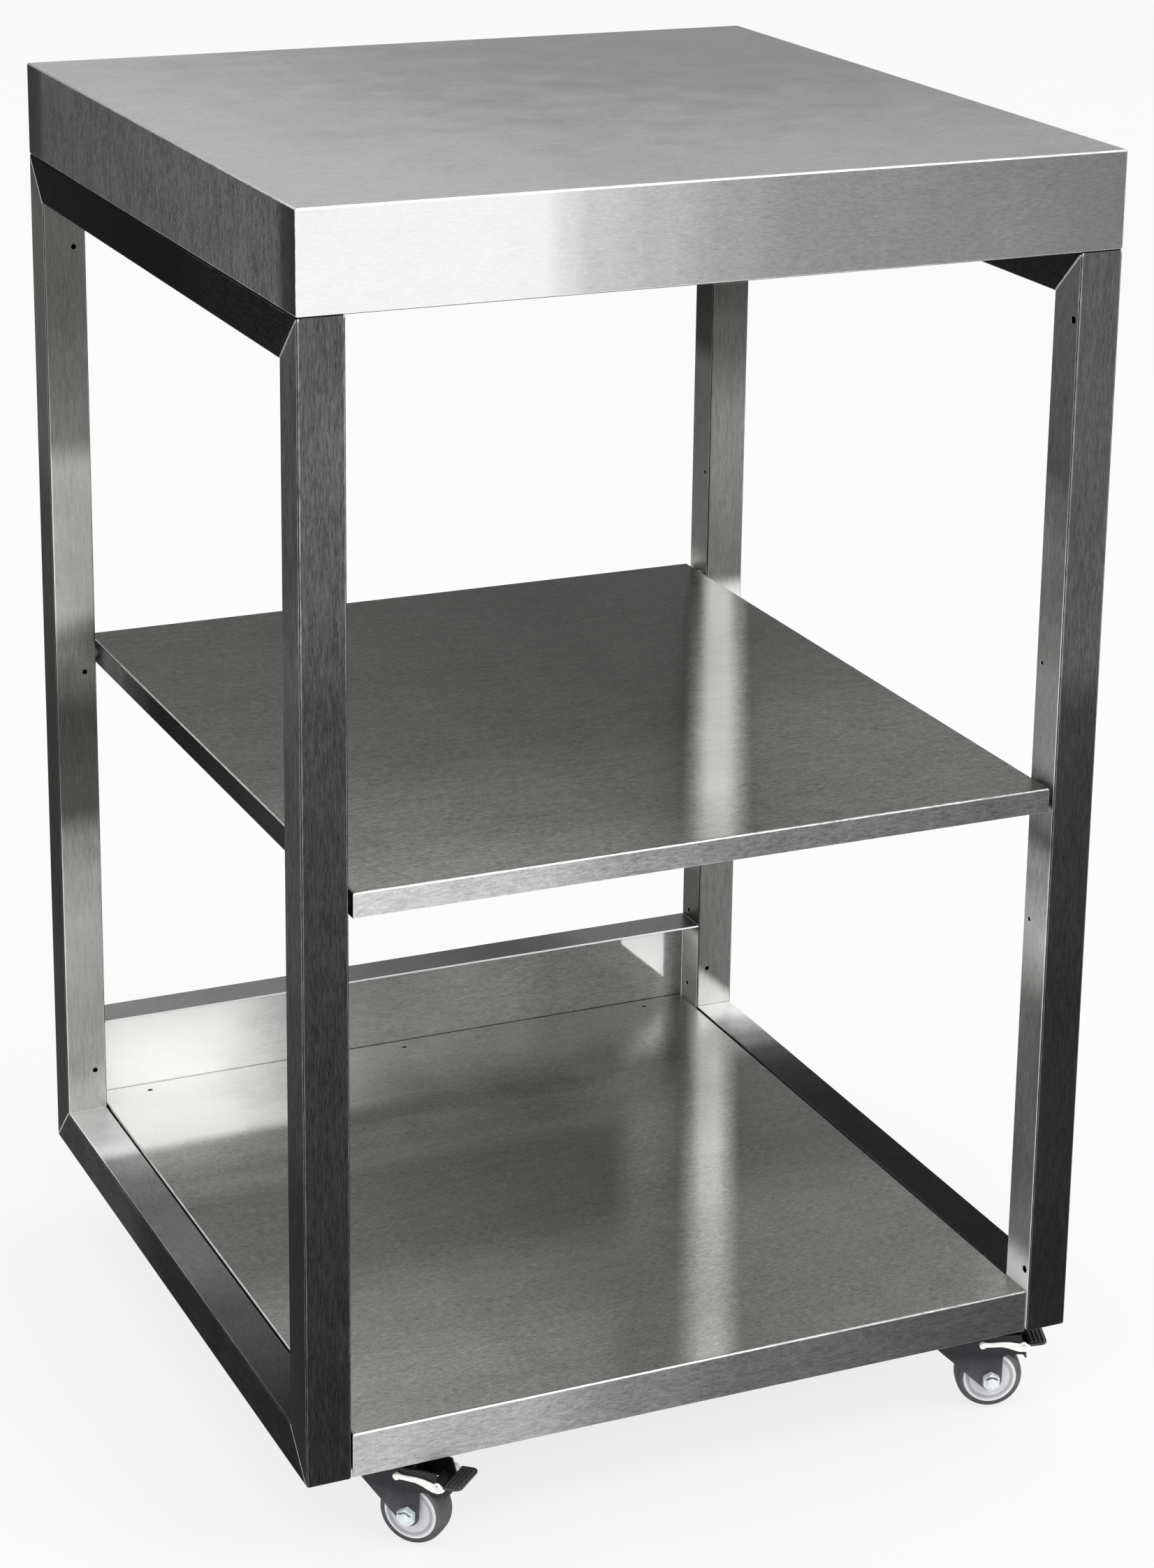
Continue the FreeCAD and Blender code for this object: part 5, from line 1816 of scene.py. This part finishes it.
@dataclass(frozen=True)
class Studio:
    """The camera, lamps, backdrop and floor."""

    place: Triple = (-1.0529, -2.4129, 1.4008)
    right: Triple = (0.909924, -0.414484, 0.015529)
    up: Triple = (0.102946, 0.261951, 0.959575)
    focal_length: float = 5285.2
    image_width: float = 1652.0
    image_height: float = 2244.0
    middle_column: float = 882.6
    middle_row: float = 770.7
    sensor: float = 36.0
    clip_start: float = 0.05
    aim: Triple = (0.0, 0.0, 0.5)
    lamps: tuple[tuple[str, Triple, float, float], ...] = (
        ("key", (1.6, -2.6, 3.0), 2.4, 40.0), ("side", (-3.4, -2.0, 2.6), 2.2, 14.0),
        ("overhead", (0.2, 0.6, 4.2), 2.6, 22.0))
    fill: float = 0.80
    floor_half: float = 30.0
    floor_thickness: float = 0.02
    floor_tone: float = 0.9
    floor_glow: float = 0.8

    def hang(self, name: str, data: bpy.types.ID) -> bpy.types.Object:
        """Adds a camera or a lamp to the scene.

        Args:
            name: Its name.
            data: Its settings.

        Returns:
            Its object.
        """
        thing = bpy.data.objects.new(name, data)
        bpy.context.scene.collection.objects.link(thing)
        return thing

    def camera(self) -> None:
        """Sets the camera that the photograph was taken with, as fitted to the cart's corners."""
        data = bpy.data.cameras.new("camera")
        data.sensor_fit = "AUTO"
        data.sensor_width = self.sensor
        data.lens = self.focal_length / self.image_height * self.sensor
        data.shift_x = (self.image_width / 2 - self.middle_column) / self.image_height
        data.shift_y = (self.middle_row - self.image_height / 2) / self.image_height
        data.clip_start = self.clip_start
        right, up = Vector(self.right), Vector(self.up)
        turn = Matrix((right, up, right.cross(up))).transposed().to_4x4()
        thing = self.hang("camera", data)
        thing.matrix_world = Matrix.Translation(self.place) @ turn
        bpy.context.scene.camera = thing

    def softbox(self, name: str, place: Triple, size: float, watts: float) -> None:
        """Hangs a square lamp that looks at the middle of the cart.

        Args:
            name: The lamp's name.
            place: Where it hangs.
            size: The length of its side.
            watts: Its power.
        """
        data = bpy.data.lights.new(name, "AREA")
        data.shape = "SQUARE"
        data.size = size
        data.energy = watts
        thing = self.hang(name, data)
        thing.location = place
        thing.rotation_euler = (Vector(self.aim) - Vector(place)).to_track_quat("-Z", "Y").to_euler()

    def seen(self, graph: Graph) -> Socket:
        """Tells the rays that see the backdrop as white: camera, glossy and transmission rays.

        Args:
            graph: The graph that is being wired.

        Returns:
            A value that is 1 for those rays.
        """
        rays = graph.node("ShaderNodeLightPath").outputs
        both = graph.math("MAXIMUM", rays["Is Camera Ray"], rays["Is Glossy Ray"])
        return graph.math("MAXIMUM", both, rays["Is Transmission Ray"])

    def world(self) -> None:
        """Surrounds the cart with an even pale light that looks white."""
        world = bpy.data.worlds.new("studio")
        world.use_nodes = True
        bpy.context.scene.world = world
        graph = Graph(world.node_tree)
        sky = next(n for n in world.node_tree.nodes if n.type == "BACKGROUND")
        fill = (self.fill, self.fill, self.fill, 1.0)
        graph.feed_all(sky, Color=graph.mix(self.seen(graph), fill, (*ONES, 1.0)))

    def floor(self) -> None:
        """Lays the pale floor, white to the camera but for the cart's soft shadow."""
        half, tone = self.floor_half, self.floor_tone
        bench = Bench.box("studio_floor", (-half, -half, -self.floor_thickness), (half, half, 0.0))
        material = bpy.data.materials.new("studio_floor")
        material.use_nodes = True
        material.node_tree.nodes.clear()
        graph = Graph(material.node_tree)
        matt = graph.node("ShaderNodeBsdfDiffuse", ((tone, tone, tone, 1.0),))
        glow = graph.node("ShaderNodeEmission", ((*ONES, 1.0),))
        share = graph.math("MULTIPLY", self.seen(graph), self.floor_glow)
        blend = graph.node("ShaderNodeMixShader", (share, matt.outputs[0], glow.outputs[0]))
        graph.node("ShaderNodeOutputMaterial", (blend.outputs[0],))
        bench.coat(material)

    def build(self) -> None:
        """Sets up everything around the cart."""
        self.camera()
        self.world()
        self.floor()
        for lamp in self.lamps:
            self.softbox(*lamp)
        bpy.context.scene.view_settings.view_transform = "Standard"


def even(tone: float, low: float = -HALF_CART, high: float = HALF_CART) -> Stops:
    """Gives one tone from end to end."""
    return ((low, tone), (high, tone))


def frame_tones() -> dict[str, Tones]:
    """Lists the tones of the tubes' faces, from the foot up and from the front back: painted reflections,
    highlights, sunlight and shade.

    Returns:
        For each tube and face, the painted tone at places along the tube, as seen on a screen.
    """
    foot, top = FRAME_FOOT, FRAME_TOP
    # Painted shade for the faces that the camera doesn't face: the uprights' right and back faces and the
    # rails' hidden faces.
    dark = ((foot, 0.22), (0.45, 0.3), (top, 0.36))
    deep = even(0.28)
    return {
        "left_front_upright": {
            Face.FRONT: ((foot, 0.18), (0.25, 0.2), (0.4, 0.23), (0.5, 0.25), (0.62, 0.28), (0.7, 0.36),
                (0.78, 0.39), (top, 0.36)),
            Face.LEFT: ((foot, 0.18), (0.12, 0.17), (0.27, 0.175), (0.33, 0.25), (0.4, 0.28), (0.49, 0.34),
                (0.56, 0.31), (0.65, 0.37), (0.72, 0.32), (top, 0.34)),
            Face.RIGHT: dark, Face.BACK: dark},
        "right_front_upright": {
            Face.FRONT: ((foot, 0.16), (0.3, 0.18), (0.5, 0.22), (0.545, 0.25), (0.6, 0.35), (top, 0.36)),
            Face.LEFT: ((foot, 0.91), (0.112, 0.97), (0.14, 0.76), (0.2, 0.7), (0.26, 0.66), (0.32, 0.68),
                (0.375, 0.84), (0.43, 0.69), (0.457, 0.42), (0.485, 0.56), (0.51, 0.8), (0.56, 0.79),
                (0.6, 0.73), (0.66, 0.63), (0.7, 0.5), (0.73, 0.35), (top, 0.38)),
            Face.RIGHT: dark, Face.BACK: dark},
        "left_rear_upright": {
            Face.FRONT: ((foot, 0.84), (0.11, 0.84), (0.14, 0.72), (0.17, 0.8), (0.21, 0.86), (0.26, 0.84),
                (0.3, 0.76), (0.33, 0.66), (0.365, 0.36), (0.44, 0.3), (0.475, 0.42), (0.5, 0.52),
                (0.53, 0.87), (0.64, 0.83), (0.67, 0.55), (0.72, 0.46), (0.78, 0.4), (top, 0.42)),
            Face.LEFT: ((foot, 0.27), (0.22, 0.26), (0.28, 0.22), (0.42, 0.225), (0.52, 0.27), (0.6, 0.28),
                (0.68, 0.39), (0.84, 0.42), (top, 0.32)),
            Face.RIGHT: dark, Face.BACK: dark},
        "right_rear_upright": {
            Face.FRONT: ((foot, 0.46), (0.24, 0.46), (0.255, 0.66), (0.27, 0.94), (0.36, 0.97), (0.475, 1.0),
                (0.495, 0.45), (0.62, 0.53), (0.7, 0.36), (0.745, 0.29), (0.757, 0.64), (top, 0.64)),
            Face.LEFT: ((foot, 0.82), (0.12, 0.8), (0.15, 0.84), (0.165, 0.93), (0.178, 0.36), (0.22, 0.36),
                (0.236, 0.46), (0.29, 0.46), (0.36, 0.7), (0.42, 0.9), (0.475, 0.98), (0.495, 0.66),
                (0.52, 0.43), (0.67, 0.37), (0.7, 0.21), (0.745, 0.17), (0.757, 0.62), (top, 0.62)),
            Face.RIGHT: dark, Face.BACK: dark},
        "left_top_rail": {
            Face.LEFT: ((-0.3, 0.165), (-0.15, 0.14), (0.0, 0.08), (0.3, 0.03)),
            Face.RIGHT: deep, Face.TOP: deep, Face.UNDER: deep},
        "right_top_rail": {Face.LEFT: even(0.13), Face.RIGHT: deep, Face.TOP: deep, Face.UNDER: deep},
        "left_bottom_rail": {
            Face.LEFT: ((-0.3, 0.18), (0.02, 0.175), (0.06, 0.21), (0.1, 0.29), (0.3, 0.27)),
            Face.TOP: ((-0.3, 0.2), (-0.1, 0.36), (-0.02, 0.46), (0.03, 0.45), (0.08, 0.45), (0.12, 0.53),
                (0.165, 0.71), (0.188, 0.92), (0.215, 0.86), (0.25, 0.86), (0.3, 0.8)),
            Face.RIGHT: deep, Face.UNDER: deep},
        "right_bottom_rail": {
            Face.LEFT: deep, Face.TOP: ((-0.3, 0.14), (0.06, 0.15), (0.1, 0.19), (0.13, 0.23), (0.16, 0.3),
                                        (0.19, 0.53), (0.22, 0.74), (0.25, 0.91), (0.3, 0.9)),
            Face.RIGHT: deep, Face.UNDER: deep},
    }


def frame_sheens() -> PaintedLightAndShade:
    """Lists the lanes and patches of painted light and shade on single faces of the tubes."""
    # Painted sunlight on the rear right upright's front, below a slanting shadow edge.
    below = Lane((0.2623, 0.267, 0.0999), (0.64, 0.0, 0.77), 0.025, 0.011, even(0.88))
    return {("right_rear_upright", Face.FRONT): (below,)}


def plain(name: str, tone: float, grain: Axis = Axis.X) -> SteelFinish:
    """Gives a finish of one tone with rims painted lighter as edge highlights."""
    return SteelFinish(name, grain, Axis.X, even(tone), rims=even(tone + 0.15))


def fold_rims(near: float, beside: float) -> Stops:
    """Lists the painted highlight along a shelf's front fold, given its painted tones at and beside the left
    end.
    """
    return ((-0.2675, near), (-0.2648, beside), (-0.262, 0.97), (-0.05, 0.88), (0.1, 0.72), (0.3, 0.62))


def worktop_finishes() -> dict[Face, SteelFinish]:
    """Lists the finishes of the worktop, with the studio's reflections and shade painted into their tones.

    Returns:
        The finish of each direction.
    """
    # A patch of painted darker reflection at the top's rear right corner.
    corner = Patch((0.3, 0.3, 0.9), (0.1, 0.1, 1.0), (0.5, 0.5, 1.0), even(0.5))
    top = SteelFinish(
        "worktop_top", Axis.X, Axis.X, ((-0.3, 0.735), (-0.13, 0.7), (-0.06, 0.66), (0.3, 0.625)),
        Axis.Y, ((-0.3, 1.0), (0.3, 0.95)), rims_along=Axis.Y, contrast=0.55, edge_tint=0.7, cloud=0.07,
        rims=((-0.3, 0.9), (-0.25, 0.8), (0.0, 0.72), (0.29, 0.62), (0.3, 0.5)), sheens=(corner,))
    # The front skirt's painted reflection, bright on the left and falling to the right.
    front = SteelFinish(
        "worktop_front", Axis.X, Axis.X,
        ((-0.3, 0.96), (-0.135, 0.96), (-0.115, 0.87), (-0.1, 0.8), (-0.05, 0.73), (0.0, 0.64), (0.05, 0.58),
         (0.1, 0.56), (0.2, 0.53), (0.3, 0.48)),
        rims=((-0.3, 0.98), (0.3, 0.7)), contrast=0.4, roughness=0.3, edge_tint=0.8)
    # The left skirt's painted shade.
    left = SteelFinish(
        "worktop_left", Axis.Z, Axis.Y,
        ((-0.3, 0.12), (-0.28, 0.19), (-0.262, 0.37), (-0.22, 0.385), (0.1, 0.34), (0.255, 0.32),
         (0.272, 0.13), (0.3, 0.06)),
        rims=((-0.3, 0.8), (0.3, 0.5)), contrast=1.8, cloud=0.8, cloud_scale=26.0)
    right = SteelFinish("worktop_right", Axis.Z, Axis.Y, ((-0.3, 0.42), (0.3, 0.52)), rims=even(0.7),
                        contrast=0.4, cloud=0.4, cloud_scale=20.0)
    back = SteelFinish("worktop_back", Axis.X, Axis.X, ((-0.3, 0.5), (0.3, 0.62)), rims=even(0.75),
                       contrast=0.3)
    return {Face.TOP: top, Face.FRONT: front, Face.LEFT: left, Face.RIGHT: right, Face.BACK: back,
            Face.UNDER: plain("worktop_under", 0.45)}


def middle_shelf_finishes() -> dict[Face, SteelFinish]:
    """Lists the finishes of the middle shelf, with the studio's reflections and shade painted into their
    tones.

    Returns:
        The finish of each direction.
    """
    across, rims = (0.8975, -0.441, 0.0), fold_rims(0.3, 0.34)
    # A wide darker lane of painted reflection, and a narrow bright lane that paints the rear right upright's
    # reflection.
    dark = Lane((0.222, -0.09, 0.0), across, 0.08, 0.05,
                ((-0.3, 0.47), (-0.12, 0.46), (0.0, 0.39), (0.1, 0.34), (0.3, 0.34)))
    bright = Lane((0.1031, -0.09, 0.0), across, 0.0034, 0.0232,
                  ((-0.3, 0.87), (-0.2, 0.97), (-0.1, 1.0), (0.3, 1.0)))
    top = SteelFinish(
        "middle_shelf_top", Axis.X, Axis.Y,
        ((-0.3, 0.6), (-0.2, 0.5), (-0.04, 0.4), (0.12, 0.37), (0.3, 0.35)),
        Axis.X, ((-0.27, 1.02), (-0.2, 1.0), (-0.1, 0.93), (0.0, 0.85), (0.1, 0.8), (0.3, 0.8)),
        rims=rims, rims_along=Axis.X, roughness=0.28, contrast=1.1, cloud=0.3, cloud_scale=14.0, bare=0.3,
        tint=WARM, sheens=(dark, bright))
    front = SteelFinish("middle_shelf_front", Axis.X, Axis.X, rims=rims, contrast=0.9, tones=(
        (-0.264, 0.83), (-0.15, 0.77), (-0.05, 0.58), (0.05, 0.48), (0.264, 0.4)))
    side = SteelFinish(
        "middle_shelf_side", Axis.Y, Axis.Y,
        ((-0.3, 0.26), (-0.14, 0.24), (-0.05, 0.2), (0.04, 0.175), (0.1, 0.18), (0.13, 0.21), (0.16, 0.3),
         (0.19, 0.38), (0.22, 0.6), (0.25, 0.8), (0.3, 0.84)),
        rims=((-0.3, 0.95), (-0.2975, 0.95), (-0.2965, 0.26), (0.12, 0.2), (0.3, 0.5)), contrast=0.8,
        edge_tint=0.42)
    return {Face.TOP: top, Face.FRONT: front, Face.BACK: plain("middle_shelf_back", 0.5),
            Face.LEFT: side, Face.UNDER: plain("middle_shelf_under", 0.45)}


def bottom_shelf_finishes() -> dict[Face, SteelFinish]:
    """Lists the finishes of the bottom shelf, with the studio's reflections, sunlight and shade painted into
    their tones.

    Returns:
        The finish of each direction.
    """
    across, rims = (0.8998, -0.4364, 0.0), fold_rims(0.87, 0.87)
    # Painted light: a lighter patch at the rear right, a wide darker lane, a darker lane beside a narrow
    # bright lane that paints the rear right upright's reflection, and painted sunlight at the rear left; the
    # brightest painted tones also glow.
    far_corner = Patch((0.3, 0.3, 0.1), (0.18, 0.09, 1.0), (0.16, 0.06, 1.0), even(0.69))
    dark = Lane((0.222, -0.09, 0.0), (0.8975, -0.441, 0.0), 0.08, 0.05,
                ((-0.3, 0.46), (-0.12, 0.44), (0.0, 0.35), (0.14, 0.36), (0.2, 0.58), (0.24, 0.64),
                (0.3, 0.66)))
    beside = Lane((0.0614, -0.09, 0.0), across, 0.012, 0.028,
                  ((-0.3, 0.52), (-0.24, 0.47), (-0.15, 0.41), (-0.09, 0.41), (-0.04, 0.395), (0.01, 0.42),
                   (0.06, 0.445), (0.11, 0.47), (0.17, 0.57), (0.22, 0.64), (0.3, 0.68)))
    bright = Lane((0.1057, -0.09, 0.0), across, 0.0034, 0.0232,
                  ((-0.3, 0.77), (-0.22, 0.7), (-0.12, 0.73), (-0.05, 0.79), (0.02, 0.86), (0.08, 0.87),
                   (0.17, 0.88), (0.22, 0.86), (0.3, 0.88)))
    sunlit = Patch((-0.26, 0.3, 0.1), (0.06, 0.105, 1.0), (0.11, 0.025, 1.0), even(0.99))
    top = SteelFinish(
        "bottom_shelf_top", Axis.X, Axis.Y,
        ((-0.3, 0.72), (-0.26, 0.66), (-0.15, 0.54), (-0.04, 0.41), (0.06, 0.41), (0.11, 0.53), (0.16, 0.74),
         (0.2, 0.9), (0.3, 0.98)),
        Axis.X,
        ((-0.27, 1.0), (-0.15, 0.94), (-0.1, 0.87), (0.0, 0.77), (0.06, 0.72), (0.12, 0.82), (0.3, 0.82)),
        rims=rims, rims_along=Axis.X, roughness=0.28, contrast=1.0, cloud=0.3, cloud_scale=14.0, bare=0.6,
        lift=0.18, edge_tint=0.7, tint=WARM, sheens=(far_corner, dark, beside, bright, sunlit))
    front = SteelFinish("bottom_shelf_front", Axis.X, Axis.X, rims=rims, contrast=0.8, tones=(
        (-0.266, 0.75), (-0.15, 0.69), (-0.05, 0.51), (0.05, 0.41), (0.266, 0.31)))
    return {Face.TOP: top, Face.FRONT: front, Face.BACK: plain("bottom_shelf_back", 0.5),
            Face.LEFT: plain("bottom_shelf_side", 0.6, Axis.Y),
            Face.UNDER: plain("bottom_shelf_under", 0.45)}


def rear_panel_finishes() -> dict[Face, SteelFinish]:
    """Lists the finishes of the rear panel, with the studio's reflections, sunlight and shade painted into
    their tones.

    Returns:
        The finish of each direction.
    """
    # Painted light: sunlight at the left, a gleam at the right cut off by a slanting shadow edge, and a
    # highlight along the top flange's lip; the brightest painted tones also glow.
    slant = Lane((0.2204, 0.2985, 0.1728), (0.672, 0.0, 0.741), 0.0185, 0.003, even(1.0))
    sunlit = Patch((-0.26, 0.3, 0.14), (0.085, 1.0, 1.0), (0.1, 1.0, 1.0), even(0.98))
    gleam = Patch((0.2285, 0.3, 0.14), (0.0185, 0.02, 0.0195), (0.004, 0.01, 0.004), even(0.95), slant)
    lip = Patch((0.0, 0.2665, 0.1775), (1.0, 0.005, 0.0018), (1.0, 0.002, 0.0004), even(0.98))
    top = SteelFinish("rear_panel_top", Axis.X, Axis.X, rims=even(0.97), contrast=0.4, bare=0.3, lift=0.4,
                      tones=(
        (-0.267, 0.54), (-0.13, 0.5), (0.0, 0.4), (0.09, 0.34), (0.13, 0.37), (0.17, 0.44), (0.267, 0.45)))
    front = SteelFinish(
        "rear_panel_front", Axis.X, Axis.X,
        ((-0.267, 0.84), (-0.1, 0.78), (-0.05, 0.7), (0.0, 0.68), (0.05, 0.68), (0.1, 0.62), (0.15, 0.54),
         (0.2, 0.52), (0.235, 0.54), (0.255, 0.66), (0.267, 0.64)),
        rims=((-0.3, 0.85), (0.3, 0.8)), edge_tint=0.95, contrast=0.6, bare=0.6, lift=0.22, cloud=0.3,
        sheens=(sunlit, gleam, lip))
    return {Face.TOP: top, Face.FRONT: front, Face.BACK: plain("rear_panel_back", 0.5),
            Face.UNDER: plain("rear_panel_under", 0.4)}


def caster_finishes(effects: Effects) -> dict[str, Material]:
    """Makes the materials of the caster pieces.

    Args:
        effects: The shared node groups.

    Returns:
        The material of each piece.
    """
    dark = PlatedFinish("caster_dark_steel", (0.37, 0.365, 0.385), 0.36, 0.3, metal=0.85, shares=(
        (-0.055, 1.0), (-0.042, 0.92), (-0.033, 0.78), (-0.024, 0.62), (-0.016, 0.62), (-0.008, 0.6)))
    # The bright plating and the pedal glow a little, as painted sunlight.
    bright = PlatedFinish("caster_bright_zinc", (0.94, 0.97, 0.98), 0.24, 0.1, metal=0.15, lift=0.04)
    chrome = PlatedFinish("pedal_bright_plating", (1.0, 1.0, 0.99), 0.18, 0.05, metal=0.3, lift=0.12)
    tab = PlatedFinish("pedal_tab_steel", (0.32, 0.32, 0.32), 0.34, 0.16, metal=0.8)
    # The wheel core is painted darker in its ring groove, as shade, and lighter on its outer ring, as a
    # highlight.
    core = MouldedFinish(
        "wheel_grey_plastic", (0.98, 0.98, 1.0), (0.8, 0.79, 0.78), 0.15, 0.42, 0.04 * MM,
        rings=((0.0, 0.94), (0.0145, 0.94), (0.0158, 0.78), (0.0174, 0.82), (0.0185, 1.0), (0.02, 1.0)))
    # The tyre darkens towards the tread and, as a painted shadow, towards the floor.
    rubber = MouldedFinish(
        "tyre_grey_rubber", (0.46, 0.46, 0.47), (0.56, 0.55, 0.53), 0.3, 0.6, 0.08 * MM,
        rings=((0.02, 0.95), (0.0225, 0.84), (0.024, 0.7), (0.025, 0.62)),
        shares=((-0.07, 0.5), (-0.062, 0.64), (-0.05, 0.88), (-0.02, 1.0)))
    worn_by = {dark: ("fork",), bright: ("axle_bolt", "axle_nut"), chrome: ("pedal_arms", "pedal_pin"),
               tab: ("pedal_tab",), core: ("wheel_core",), rubber: ("tyre",)}
    made = {finish: finish.build(effects) for finish in worn_by}
    return {piece: made[finish] for finish, pieces in worn_by.items() for piece in pieces}


def dress_packed_nodes(effects: Effects) -> None:
    """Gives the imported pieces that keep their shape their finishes.

    Args:
        effects: The shared node groups.
    """
    dark = PlatedFinish("plate_dull_zinc", (0.34, 0.33, 0.34), 0.42, 0.14, own=False).build(effects)
    zinc = PlatedFinish("fastener_zinc", (0.78, 0.79, 0.80), 0.28, 0.12, own=False).build(effects)
    channel = SteelFinish("cross_channel_steel", Axis.X, Axis.X, even(0.42, -0.27, 0.27)).build(effects)
    endings = {"caster_plate": dark, "brake_shoe": dark, "kingpin": zinc, "pedal_pin": zinc, "screws": zinc,
               "nuts": zinc, "bolts": zinc, "spacers": zinc, "cross_channel": channel}
    for name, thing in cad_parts.items():
        for ending, material in endings.items():
            if name.endswith(ending) and not thing.hide_render:
                thing.data.materials.clear()
                thing.data.materials.append(material)
                LOG.info("%s: packed shape, finish %s", name, material.name)


def main() -> None:
    """Builds the sub-assemblies in order, then the studio."""
    logging.basicConfig(level=logging.INFO, format="%(name)s: %(message)s")
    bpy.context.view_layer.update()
    effects = Effects()
    tones = frame_tones()
    # The inside of the tubes is painted dark as shade.
    inside = SteelFinish("tube_inside", Axis.Z, Axis.X, even(0.10), edge_tint=0.4).build(effects)
    for side in (-1, 1):
        SideFrame(side, effects, inside).build(tones, frame_sheens())
    Worktop(effects).build(worktop_finishes())
    shelves = Shelves(effects)
    shelves.middle(middle_shelf_finishes())
    shelves.bottom(bottom_shelf_finishes())
    shelves.panel(rear_panel_finishes())
    Caster().build(caster_finishes(effects))
    dress_packed_nodes(effects)
    Studio().build()


if __name__ == "__main__":
    main()
